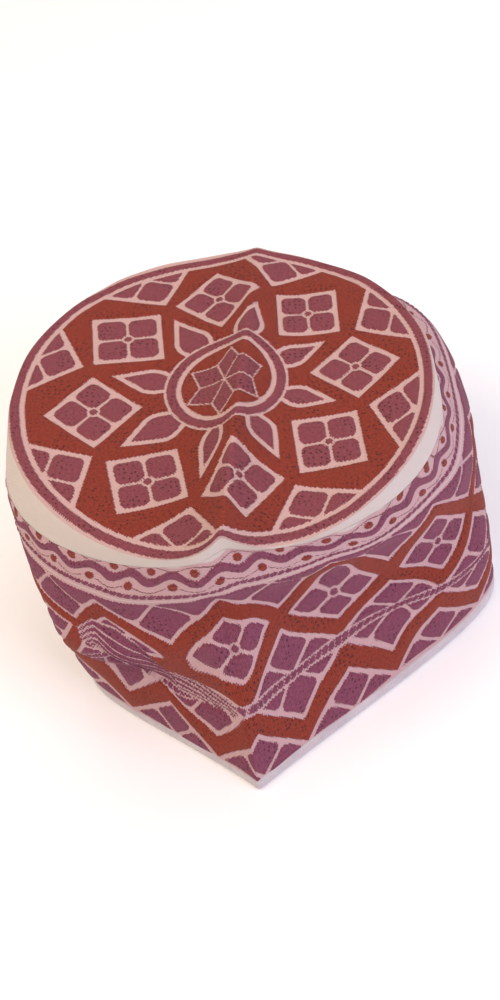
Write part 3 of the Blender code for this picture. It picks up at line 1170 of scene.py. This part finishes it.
    def teeth(self, tree: bpy.types.NodeTree, place: object) -> object:
        """Height of the teeth, mm: a small checker of stitch ends, plus noise."""
        turned = add_node(tree, "ShaderNodeVectorMath", {"operation": "SCALE"},
                          {0: place, "Scale": 2.0 * math.pi / self.teeth_mm}).outputs[0]
        waves = add_node(tree, "ShaderNodeVectorMath", {"operation": "SINE"}, {0: turned}).outputs[0]
        parts = add_node(tree, "ShaderNodeSeparateXYZ", inputs={0: waves})
        checker = add_node(tree, "ShaderNodeMath", {"operation": "MULTIPLY"},
                           {0: parts.outputs[0], 1: parts.outputs[1]}).outputs[0]
        noise = add_node(tree, "ShaderNodeTexNoise", {"noise_dimensions": "2D"},
                         {"Vector": place, "Scale": 0.85, "Detail": 1.0}).outputs["Fac"]
        noise = add_node(tree, "ShaderNodeMapRange", inputs={
            "Value": noise, "To Min": -self.ragged_mm, "To Max": self.ragged_mm}).outputs["Result"]
        return add_node(tree, "ShaderNodeMath", {"operation": "MULTIPLY_ADD"},
                        {0: checker, 1: self.checker_mm, 2: noise}).outputs[0]

    def holes(self, tree: bpy.types.NodeTree, place: object, cream: object) -> object:
        """Share of needle holes, whose dark colour is painted shade: dots on a loose grid, kept to a strip
        along the borders.
        """
        cell = add_node(tree, "ShaderNodeTexVoronoi", {"voronoi_dimensions": "2D", "feature": "F1"},
                        {"Vector": place, "Scale": 1.0 / self.hole_mm,
                         "Randomness": 0.7}).outputs["Distance"]
        size = add_node(tree, "ShaderNodeTexNoise", {"noise_dimensions": "2D"},
                        {"Vector": place, "Scale": 0.09, "Detail": 2.0}).outputs["Fac"]
        size = add_node(tree, "ShaderNodeMapRange", inputs={
            "Value": size, "From Min": 0.4, "From Max": 0.62,
            "To Min": -0.06, "To Max": 0.10}).outputs["Result"]
        cell = add_node(tree, "ShaderNodeMath", {"operation": "SUBTRACT"}, {0: cell, 1: size}).outputs[0]
        dot = add_node(tree, "ShaderNodeMapRange", {"interpolation_type": "SMOOTHSTEP"},
                       {"Value": cell, "From Min": 0.15, "From Max": 0.08}).outputs["Result"]
        strip = add_node(tree, "ShaderNodeMapRange", {"interpolation_type": "SMOOTHSTEP"},
                         {"Value": cream, "From Min": -0.3, "From Max": -0.7}).outputs["Result"]
        share = add_node(tree, "ShaderNodeMath", {"operation": "MULTIPLY"}, {0: dot, 1: strip}).outputs[0]
        return add_node(tree, "ShaderNodeMath", {"operation": "MULTIPLY"},
                        {0: share, 1: self.hole_share}).outputs[0]


@dataclass(frozen=True)
class PlainCotton:
    """Plain-woven cotton cloth, washed and pressed: matt, with a faint weave and soft mottling."""

    name: str
    colour: str
    deep: str
    weave_mm: float = 0.9        # twice the real thread spacing, so that it shows

    def material(self) -> bpy.types.Material:
        """Builds the material on Object coordinates."""
        made = bpy.data.materials.new(self.name)
        made.use_nodes = True
        tree = made.node_tree
        shader = tree.nodes["Principled BSDF"]
        coords = add_node(tree, "ShaderNodeTexCoord").outputs["Object"]
        mottle = add_node(tree, "ShaderNodeTexNoise", inputs={
            "Vector": coords, "Scale": 90.0, "Detail": 4.0, "Roughness": 0.6}).outputs["Fac"]
        weave = add_node(tree, "ShaderNodeTexVoronoi", {"feature": "F1"},
                         {"Vector": coords, "Scale": 1.0 / (self.weave_mm * MM),
                          "Randomness": 0.45}).outputs["Distance"]
        share = add_node(tree, "ShaderNodeMath", {"operation": "MULTIPLY_ADD"},
                         {0: weave, 1: -0.3, 2: mottle}).outputs[0]
        share = add_node(tree, "ShaderNodeMapRange", inputs={
            "Value": share, "From Min": 0.15, "From Max": 0.6}).outputs["Result"]
        mix = add_node(tree, "ShaderNodeMix", {"data_type": "RGBA"},
                       {0: share, 6: linear(self.deep), 7: linear(self.colour)})
        tree.links.new(mix.outputs[2], shader.inputs["Base Color"])
        height = add_node(tree, "ShaderNodeMath", {"operation": "MULTIPLY_ADD"},
                          {0: mottle, 1: 2.0, 2: weave}).outputs[0]
        bump = add_node(tree, "ShaderNodeBump", inputs={
            "Strength": 0.6, "Distance": 0.2 * MM, "Height": height})
        tree.links.new(bump.outputs["Normal"], shader.inputs["Normal"])
        shader.inputs["Roughness"].default_value = 0.85
        shader.inputs["Specular IOR Level"].default_value = 0.25
        shader.inputs["Sheen Weight"].default_value = 0.3
        return made


@dataclass(frozen=True)
class Palette:
    """The cap's finishes, made once."""

    crown: bpy.types.Material
    band: bpy.types.Material
    plain: bpy.types.Material
    lining: bpy.types.Material

    @classmethod
    def mixed(cls) -> "Palette":
        """Makes the four finishes."""
        # The band's threads are tinted cooler than the same threads on the crown: painted light, standing
        # for the cool light from the side on the wall and the warm light from above on the crown.
        crown = StitchedCotton("stitched_cotton_crown", "#8F3827", "#6E281D", "#8B474F", "#6F353D",
                               "#CDABA5", "#B38C87")
        band = StitchedCotton("stitched_cotton_band", "#933A28", "#732A1F", "#8A495E", "#6C3449",
                              "#CDA8A9", "#B38C8F")
        return cls(crown.material(), band.material(),
                   PlainCotton("plain_cotton_hem", "#CBC0C2", "#B5A9AC").material(),
                   PlainCotton("cotton_lining", "#C9BCB0", "#B5A697").material())


def polygon_mesh(name: str, points: np.ndarray, corners: np.ndarray,
                 counts: np.ndarray) -> bpy.types.Mesh:
    """Smooth mesh from whole arrays.

    Args:
        name: name of the mesh.
        points: its points, metres.
        corners: corner numbers of all faces, one face after the other.
        counts: number of corners of each face.

    Returns:
        The mesh, whose edges are still to be made.
    """
    mesh = bpy.data.meshes.new(name)
    mesh.vertices.add(len(points))
    mesh.vertices.foreach_set("co", points.ravel())
    mesh.loops.add(len(corners))
    mesh.loops.foreach_set("vertex_index", corners.astype(np.int32))
    mesh.polygons.add(len(counts))
    mesh.polygons.foreach_set("loop_start", np.r_[0, np.cumsum(counts)[:-1]].astype(np.int32))
    mesh.polygons.foreach_set("use_smooth", np.ones(len(counts), dtype=bool))
    return mesh


def shell_mesh(name: str, outer: np.ndarray, inner: np.ndarray, ratio: int,
               uv: np.ndarray, chart: Chart | None) -> bpy.types.Mesh:
    """Closed cloth from a fine outer grid and a coarser inner one.

    The grids have the same corners, and the inner one has every ratio-th row
    and column. The two edges are zipped: each fine edge meets the nearest
    coarse corner, and each coarse edge one fine corner half way.

    Args:
        name: name of the mesh.
        outer: rows by columns by 3, in metres, facing out.
        inner: the coarse grid, in metres.
        ratio: fine steps to a coarse one, an odd number.
        uv: rows by columns by 2, the outer places in mm over 100.
        chart: signed distances over the outer grid.

    Returns:
        The mesh, with material 0 outside and 1 inside.
    """
    def quads(rows: int, columns: int, first: int, flip: bool) -> np.ndarray:
        """Corner numbers of a grid's quads."""
        i, j = np.meshgrid(np.arange(rows - 1), np.arange(columns - 1), indexing="ij")
        a = first + i * columns + j
        order = (a, a + columns, a + columns + 1, a + 1)
        return np.stack(order[::-1] if flip else order, axis=-1).reshape(-1, 4)

    def loop(rows: int, columns: int, first: int) -> np.ndarray:
        """Corner numbers round a grid's edge."""
        grid = first + np.arange(rows * columns).reshape(rows, columns)
        return np.concatenate([grid[:-1, 0], grid[-1, :-1], grid[:0:-1, -1], grid[0, :0:-1]])

    rows, columns = outer.shape[:2]
    base = rows * columns
    outside = quads(rows, columns, 0, False)
    inside = quads(inner.shape[0], inner.shape[1], base, True)
    fine = loop(rows, columns, 0)
    coarse = loop(inner.shape[0], inner.shape[1], base)
    at = np.arange(len(fine))
    nearest = coarse[((at + ratio // 2) // ratio) % len(coarse)]
    small = np.stack([fine[(at + 1) % len(fine)], fine, nearest], axis=-1)
    m = np.arange(len(coarse))
    large = np.stack([coarse, coarse[(m + 1) % len(coarse)],
                      fine[(m * ratio + ratio // 2 + 1) % len(fine)]], axis=-1)
    points = np.vstack([outer.reshape(-1, 3), inner.reshape(-1, 3)])
    triangles = np.vstack([small, large])
    corners = np.concatenate([outside.ravel(), inside.ravel(), triangles.ravel()])
    counts = np.concatenate([np.full(len(outside) + len(inside), 4), np.full(len(triangles), 3)])

    mesh = polygon_mesh(name, points, corners, counts)
    slots = np.zeros(len(counts), dtype=np.int32)
    slots[len(outside):len(outside) + len(inside)] = 1
    mesh.polygons.foreach_set("material_index", slots)
    places = np.vstack([uv.reshape(-1, 2), np.zeros((len(points) - base, 2))])
    mesh.uv_layers.new(name="cloth_mm").data.foreach_set("uv", places[corners].ravel())
    if chart is not None:
        for thread in (Thread.CREAM, Thread.RUST, Thread.DARK):
            values = np.full(len(points), FAR if thread is Thread.CREAM else -FAR)
            values[:base] = chart.distance[thread].ravel()
            layer = mesh.attributes.new(thread.value, "FLOAT", "POINT")
            layer.data.foreach_set("value", values.astype(np.float32))
    mesh.update(calc_edges=True)
    mesh.validate()
    return mesh


def grid_normals(points: np.ndarray) -> np.ndarray:
    """Unit normals of a grid: down its columns crossed with along its rows."""
    normal = np.cross(np.gradient(points, axis=0), np.gradient(points, axis=1))
    return normal / np.linalg.norm(normal, axis=2, keepdims=True)


def padding(chart: Chart) -> np.ndarray:
    """Height of the stitching over the cloth, mm.

    A patch of thread rises by a smooth step at its edge, and swells a little
    more towards its middle by 1 - exp(-depth / reach).
    """
    depth = np.clip(-chart.distance[Thread.CREAM], 0.0, None)
    rise = np.clip(depth / PAD_EDGE, 0.0, 1.0)
    swell = PAD_SWELL * (1.0 - np.exp(-depth / PAD_REACH))
    return PAD_STEP * rise * rise * (3.0 - 2.0 * rise) + swell


def ripple(x: np.ndarray, y: np.ndarray) -> np.ndarray:
    """Soft unevenness of handled cloth, mm: four crossing sine waves."""
    return (0.22 * np.sin(x / 5.1 + 1.3 * np.sin(y / 11.0)) * np.sin(y / 6.3 + 0.7)
            + 0.18 * np.sin(x / 9.7 - y / 8.1 + 2.0))


def stand(name: str, data: bpy.types.ID, axes: np.ndarray, place: np.ndarray) -> bpy.types.Object:
    """Links a camera or light at a place, metres, with its axes as the columns of axes."""
    thing = bpy.data.objects.new(name, data)
    rows = [[*row, at] for row, at in zip(axes, place)]
    thing.matrix_world = Matrix(rows + [[0.0, 0.0, 0.0, 1.0]])
    bpy.context.scene.collection.objects.link(thing)
    return thing


def place_piece(name: str, mesh: bpy.types.Mesh, materials: tuple[bpy.types.Material, ...],
                slot: str, *nodes: str) -> bpy.types.Object:
    """Links a piece under what it rides on, and hides the solids that it stands for.

    Args:
        name: name of the object.
        mesh: its mesh, in the row frame.
        materials: materials in slot order.
        slot: the record's material slot; not used.
        nodes: the solids that it stands for.

    Returns:
        The object.
    """
    for material in materials:
        mesh.materials.append(material)
    piece = bpy.data.objects.new(name, mesh)
    bpy.context.scene.collection.objects.link(piece)
    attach(piece, "root")
    if nodes:
        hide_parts(*nodes)
    LOG.info("%s: %d faces", name, len(mesh.polygons))
    return piece


@dataclass
class Crown:
    """The round top: the embroidered panel and its plain margin, turned down to the seam."""

    shape: CapShape
    levels: list[np.ndarray]
    shift: np.ndarray
    steps: int = 306             # of the square grid that is wrapped into the disc
    ratio: int = 9
    cloth: float = 1.6
    fade: float = 2.5            # the relief dies away over this length at the seam, mm

    def places(self) -> tuple[np.ndarray, np.ndarray]:
        """Radius and heading over a square grid wrapped evenly into a disc.

        Each square ring of side s becomes a circle of radius s. The place along
        a side becomes a share of a quarter turn.

        Returns:
            The radii, mm along the cloth, and the headings.
        """
        side = np.linspace(-1.0, 1.0, self.steps + 1)
        a, b = np.meshgrid(side, side[::-1])
        wide = np.abs(a) >= np.abs(b)
        reach = np.where(wide, a, b)
        ratio = np.divide(np.where(wide, b, a), np.where(reach == 0.0, 1.0, reach))
        angle = np.where(wide, 0.25 * np.pi * ratio, 0.5 * np.pi - 0.25 * np.pi * ratio)
        angle = angle + np.where(reach < 0.0, np.pi, 0.0)
        last = self.shape.crown_radius + self.shape.seam_place * self.shape.shoulder_length
        return np.abs(reach) * last, angle

    def surface(self, radius: np.ndarray, heading: np.ndarray) -> np.ndarray:
        """Points of the flat top, and of the shoulder beyond its edge.

        Args:
            radius: mm along the cloth from the middle.
            heading: radians, anticlockwise from +x.

        Returns:
            The points.
        """
        shape = self.shape
        flat = np.minimum(radius, shape.crown_radius)
        top = shape.crown_point(flat * np.cos(heading), flat * np.sin(heading))
        wall = self.levels[0][:-1]
        around = np.arctan2(wall[:, 1], wall[:, 0])
        wall_at = np.stack([np.interp(heading, around, wall[:, k], period=2.0 * np.pi)
                            for k in range(3)], axis=-1)
        t = np.clip((radius - flat) / shape.shoulder_length, 0.0, 1.0)[..., None]
        outward = np.stack([np.cos(heading), np.sin(heading), np.zeros_like(heading)], axis=-1)
        return shape.shoulder(top, outward, wall_at, t)

    def build(self, palette: Palette, studio: "Studio") -> bpy.types.Object:
        """Builds the crown.

        Args:
            palette: the finishes.
            studio: the studio, for the photograph's view of the pattern.

        Returns:
            The piece.
        """
        radius, heading = self.places()
        points = self.surface(radius, heading)
        normal = grid_normals(points)
        x, y = radius * np.cos(heading), radius * np.sin(heading)
        chart = CrownPattern(self.shape, studio).chart(x, y)
        fade = np.clip((radius.max() - radius) / self.fade, 0.0, 1.0)
        height = (padding(chart) + ripple(x, y)) * fade
        outer = points + normal * height[..., None]
        inner = (points - normal * self.cloth)[::self.ratio, ::self.ratio]
        uv = np.stack([x, y], axis=-1) / 100.0
        mesh = shell_mesh("crown_panel", (outer - self.shift) * MM, (inner - self.shift) * MM,
                          self.ratio, uv, chart)
        return place_piece("crown_panel", mesh, (palette.crown, palette.lining),
                           "crown_embroidered_cotton", "crown")


def profile_piece(name: str, loops: np.ndarray, material: bpy.types.Material,
                  slot: str, *nodes: str) -> bpy.types.Object:
    """Closed tube whose rows and columns both wrap round.

    Args:
        name: name of the piece.
        loops: rows by columns by 3, metres.
        material: its finish.
        slot: the record's material slot.
        nodes: the solids that it stands for.

    Returns:
        The piece.
    """
    rows, columns = loops.shape[:2]
    i, j = np.meshgrid(np.arange(rows), np.arange(columns), indexing="ij")
    below, beside = (i + 1) % rows, (j + 1) % columns
    quads = np.stack([i * columns + j, below * columns + j, below * columns + beside,
                      i * columns + beside], axis=-1).reshape(-1, 4)
    mesh = polygon_mesh(name, loops.reshape(-1, 3), quads.ravel(), np.full(len(quads), 4))
    mesh.update(calc_edges=True)
    mesh.validate()
    return place_piece(name, mesh, (material,), slot, *nodes)


@dataclass
class SideBand:
    """The embroidered wall, in two halves that meet at the front and back creases."""

    shape: CapShape
    levels: list[np.ndarray]
    shift: np.ndarray
    pattern: BandPattern = BandPattern()
    rows: int = 162
    ratio: int = 9
    cloth: float = 1.6
    seam_down: float = -3.0
    end_down: float = 94.7
    search_turn: float = 0.5     # how far round a landmark is looked for, in twelfths of a turn
    search_down: float = 24.0    # and how far down, mm
    search_gap: float = 4.0      # the most that its pixel may be missed by
    fade: float = 4.0            # the relief dies away over this length at the seam, mm

    def wall(self) -> tuple[np.ndarray, np.ndarray]:
        """Depths of the band's rows, and its points from the front crease round to it again."""
        downs = np.linspace(self.seam_down, self.end_down, self.rows + 1)
        grid = np.array([self.shape.rounded_row(self.levels, min(down, LAST_DOWN)) if down >= 0.0 else
                         self.shape.shoulder_row(self.levels, 1.0 + down / self.shape.shoulder_length)
                         for down in downs])
        return downs, grid

    def strays(self, downs: np.ndarray, grid: np.ndarray, studio: "Studio") -> np.ndarray:
        """How far the photograph shows each landmark off its place on the regular chart.

        The camera's view of every point of the wall gives its pixel. A landmark lies at
        the point that faces the camera nearest to the landmark's own pixel, among those
        within search of its regular place.

        Args:
            downs: depths of the rows.
            grid: the wall's points.
            studio: the studio whose camera stands where the photograph was taken.

        Returns:
            Rows of turn, depth, and how far the pattern has moved down and round, mm.
        """
        turns = (np.arange(grid.shape[1]) / (2.0 * self.shape.half) * 12.0 + 6.0) % 12.0 - 6.0
        order = np.argsort(turns)
        turns, grid = turns[order], grid[:, order]
        flat = studio.pixels(grid, self.shape.crown_height)
        across, along = np.gradient(flat, axis=1), np.gradient(flat, axis=0)
        faces = across[..., 0] * along[..., 1] - across[..., 1] * along[..., 0] > 0.0
        rows = []
        for mark in LANDMARKS:
            near = ((np.abs(turns - mark.turn) < self.search_turn)
                    & (np.abs(downs - mark.depth) < self.search_down)[:, None] & faces)
            gap = np.hypot(flat[..., 0] - mark.photo_x, flat[..., 1] - mark.photo_y)
            row, column = np.unravel_index(np.argmin(np.where(near, gap, np.inf)), gap.shape)
            if gap[row, column] < self.search_gap:
                rows.append((turns[column], downs[row], downs[row] - mark.depth,
                             (turns[column] - mark.turn) * self.pattern.period))
        LOG.info("landmarks found: %d of %d", len(rows), len(LANDMARKS))
        return np.array(rows)

    def build(self, palette: Palette, studio: "Studio") -> None:
        """Builds both halves over one wall, with the pattern where the photograph shows it."""
        downs, grid = self.wall()
        strays = self.strays(downs, grid, studio)
        self.half("band_right", 0, palette, downs, grid, strays, "side_band")
        self.half("band_left", self.shape.half, palette, downs, grid, strays)

    def half(self, name: str, first: int, palette: Palette, downs: np.ndarray, grid: np.ndarray,
             strays: np.ndarray, *nodes: str) -> bpy.types.Object:
        """Builds one half of the band.

        Args:
            name: name of the piece.
            first: first column.
            palette: the finishes.
            downs: depths of the rows.
            grid: the wall's points.
            strays: how far the pattern lies off its regular chart.
            nodes: the solids that it stands for.

        Returns:
            The piece.
        """
        columns = slice(first, first + self.shape.half + 1)
        points = grid[:, columns]
        around = np.concatenate([grid[:, -2:-1], grid, grid[:, 1:2]], axis=1)
        normal = grid_normals(around)[:, 1:-1][:, columns]
        turn = (np.arange(2 * self.shape.half + 1)[columns] / (2.0 * self.shape.half)) * 12.0
        turn = np.where(turn > 6.0, turn - 12.0, turn) if first else turn
        turn, down = np.meshgrid(turn, downs)
        chart = self.pattern.chart(turn, down, strays)
        along = turn * self.pattern.period
        fade = np.clip((down - self.seam_down) / self.fade, 0.0, 1.0)
        height = (padding(chart) + ripple(along, down) + self.pattern.pleats(turn, down)) * fade
        outer = points + normal * height[..., None]
        inner = (points - normal * self.cloth)[::self.ratio, ::self.ratio]
        uv = np.stack([along, down], axis=-1) / 100.0
        mesh = shell_mesh(name, (outer - self.shift) * MM, (inner - self.shift) * MM,
                          self.ratio, uv, chart)
        return place_piece(name, mesh, (palette.band, palette.lining), "band_embroidered_cotton", *nodes)


@dataclass
class RimHem:
    """The plain binding folded round the lower edge."""

    levels: list[np.ndarray]
    shift: np.ndarray
    height: float = 6.3
    thickness: float = 2.9
    proud: float = 0.55          # beyond the band's face
    steps: int = 28
    squareness: float = 3.2

    def build(self, palette: Palette) -> bpy.types.Object:
        """Sweeps a rounded rectangle, |a|^n + |b|^n = 1, along the rim.

        Args:
            palette: the finishes.

        Returns:
            The piece.
        """
        rim = self.levels[-1][:-1, :2]
        ahead = np.roll(rim, -1, axis=0) - np.roll(rim, 1, axis=0)
        outward = np.column_stack([ahead[:, 1], -ahead[:, 0]])
        outward /= np.linalg.norm(outward, axis=1, keepdims=True)
        angle = np.linspace(0.0, 2.0 * np.pi, self.steps, endpoint=False)
        power = 2.0 / self.squareness
        out = np.sign(np.cos(angle)) * np.abs(np.cos(angle)) ** power * 0.5 * self.thickness
        up = np.sign(np.sin(angle)) * np.abs(np.sin(angle)) ** power * 0.5 * self.height
        out = out + self.proud - 0.5 * self.thickness
        plan = rim[None] + outward[None] * out[::-1, None, None]
        heights = np.broadcast_to(up[::-1, None] + 0.5 * self.height, plan.shape[:2])
        loops = np.concatenate([plan, heights[..., None]], axis=2)
        return profile_piece("rim_binding", (loops - self.shift) * MM, palette.plain,
                             "plain_hem_cotton", "rim_hem")


@dataclass(frozen=True)
class Studio:
    """Pale floor, soft lights and the camera at the photograph's angle."""

    azimuth: float = 9.34
    elevation: float = 49.79
    roll: float = -11.60
    distance_mm: float = 470.2
    look_x: float = 11.656
    look_y: float = -52.90
    lens: float = 46.88
    sensor: float = 36.0         # along the photograph's longer side
    photo_width: int = 500
    photo_height: int = 1000
    aim_height: float = 0.05     # of the point that the lights face, metres
    floor_half: float = 6.0      # metres

    def axes(self, height: float) -> tuple[np.ndarray, ...]:
        """The camera's directions to the right, up and back, and its place over the sections, mm."""
        turn, lift, roll = (math.radians(v) for v in (self.azimuth, self.elevation, self.roll))
        back = np.array([math.sin(turn) * math.cos(lift), -math.cos(turn) * math.cos(lift),
                         math.sin(lift)])
        right = np.array([math.cos(turn), math.sin(turn), 0.0])
        up = np.cross(back, right)
        right, up = (math.cos(roll) * right + math.sin(roll) * up,
                     math.cos(roll) * up - math.sin(roll) * right)
        place = np.array([self.look_x, self.look_y, height]) + back * self.distance_mm
        return right, up, back, place

    def pixels(self, points: np.ndarray, height: float) -> np.ndarray:
        """Places in the photograph, px from its top left, at which the camera sees points.

        Args:
            points: in the frame of the sections, mm.
            height: of the crown's flat, mm.

        Returns:
            Array of x and y.
        """
        right, up, back, place = self.axes(height)
        offset = points - place
        share = self.lens / self.sensor / -(offset @ back) * self.photo_height
        return np.stack([0.5 * self.photo_width + share * (offset @ right),
                         0.5 * self.photo_height - share * (offset @ up)], axis=-1)

    def rays(self, pixels: np.ndarray, height: float) -> tuple[np.ndarray, np.ndarray]:
        """The camera's place, mm, and the directions in which it sees pixels.

        Args:
            pixels: their places, px from the photograph's top left.
            height: of the crown's flat, mm.

        Returns:
            The place, and one direction a pixel.
        """
        right, up, back, place = self.axes(height)
        focus = self.lens / self.sensor * self.photo_height
        over = (pixels[:, :1] - 0.5 * self.photo_width) / focus * right
        return place, over + (0.5 * self.photo_height - pixels[:, 1:]) / focus * up - back

    def camera(self, shift: np.ndarray, height: float) -> None:
        """Places the camera.

        Args:
            shift: what centres the cap, mm.
            height: of the crown's flat, mm.
        """
        right, up, back, place = self.axes(height)
        data = bpy.data.cameras.new("camera")
        data.lens = self.lens
        data.sensor_width = self.sensor
        data.clip_start = 0.01
        axes = np.column_stack([right, up, back])
        bpy.context.scene.camera = stand("camera", data, axes, (place - shift) * MM)

    def light(self, name: str, place: tuple[float, float, float], size: float,
              power: float, colour: str) -> None:
        """Adds a square soft light that faces the cap.

        Args:
            name: name of the light.
            place: where it hangs, metres.
            size: side, metres.
            power: watts.
            colour: sRGB hex.
        """
        data = bpy.data.lights.new(name, "AREA")
        data.size = size
        data.energy = power
        data.color = linear(colour)[:3]
        back = np.array(place) - (0.0, 0.0, self.aim_height)
        back /= np.linalg.norm(back)
        side = np.cross([0.0, 0.0, 1.0], back)
        side /= np.linalg.norm(side)
        stand(name, data, np.column_stack([side, np.cross(back, side), back]), place)

    def floor(self) -> None:
        """Lays a pale matt floor."""
        mesh = bpy.data.meshes.new("floor")
        corners = ((-1.0, -1.0), (1.0, -1.0), (1.0, 1.0), (-1.0, 1.0))
        mesh.from_pydata([(self.floor_half * x, self.floor_half * y, 0.0) for x, y in corners],
                         [], [(0, 1, 2, 3)])
        material = bpy.data.materials.new("pale_paper")
        material.use_nodes = True
        shader = material.node_tree.nodes["Principled BSDF"]
        shader.inputs["Base Color"].default_value = linear("#FCFCFC")
        shader.inputs["Roughness"].default_value = 0.9
        shader.inputs["Specular IOR Level"].default_value = 0.1
        mesh.materials.append(material)
        floor = bpy.data.objects.new("floor", mesh)
        bpy.context.scene.collection.objects.link(floor)

    def build(self, shift: np.ndarray, height: float) -> None:
        """Makes the camera, the floor, the lights and a pale world."""
        self.camera(shift, height)
        self.floor()
        self.light("key", (-0.7, -0.35, 1.1), 0.9, 9.5, "#FFE5C9")
        self.light("side", (0.95, -0.6, 0.7), 0.8, 9.5, "#E6E2FF")
        self.light("top", (0.1, 0.5, 1.3), 1.2, 7.0, "#FFFBF4")
        world = bpy.data.worlds.new("studio")
        world.use_nodes = True
        backdrop = world.node_tree.nodes["Background"]
        backdrop.inputs["Color"].default_value = linear("#F3F1F2")
        backdrop.inputs["Strength"].default_value = 0.5
        bpy.context.scene.world = world
        bpy.context.scene.view_settings.view_transform = "Standard"


def main() -> None:
    """Builds the cap over the frame, then the studio."""
    logging.basicConfig(level=logging.INFO, format="%(name)s: %(message)s")
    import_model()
    shape = CapShape()
    levels = [shape.section_points(cut) for cut in SECTIONS]
    shift = shape.shift(levels)
    palette = Palette.mixed()
    studio = Studio()
    Crown(shape, levels, shift).build(palette, studio)
    SideBand(shape, levels, shift).build(palette, studio)
    RimHem(levels, shift).build(palette)
    studio.build(shift, shape.crown_height)


if __name__ == "__main__":
    main()
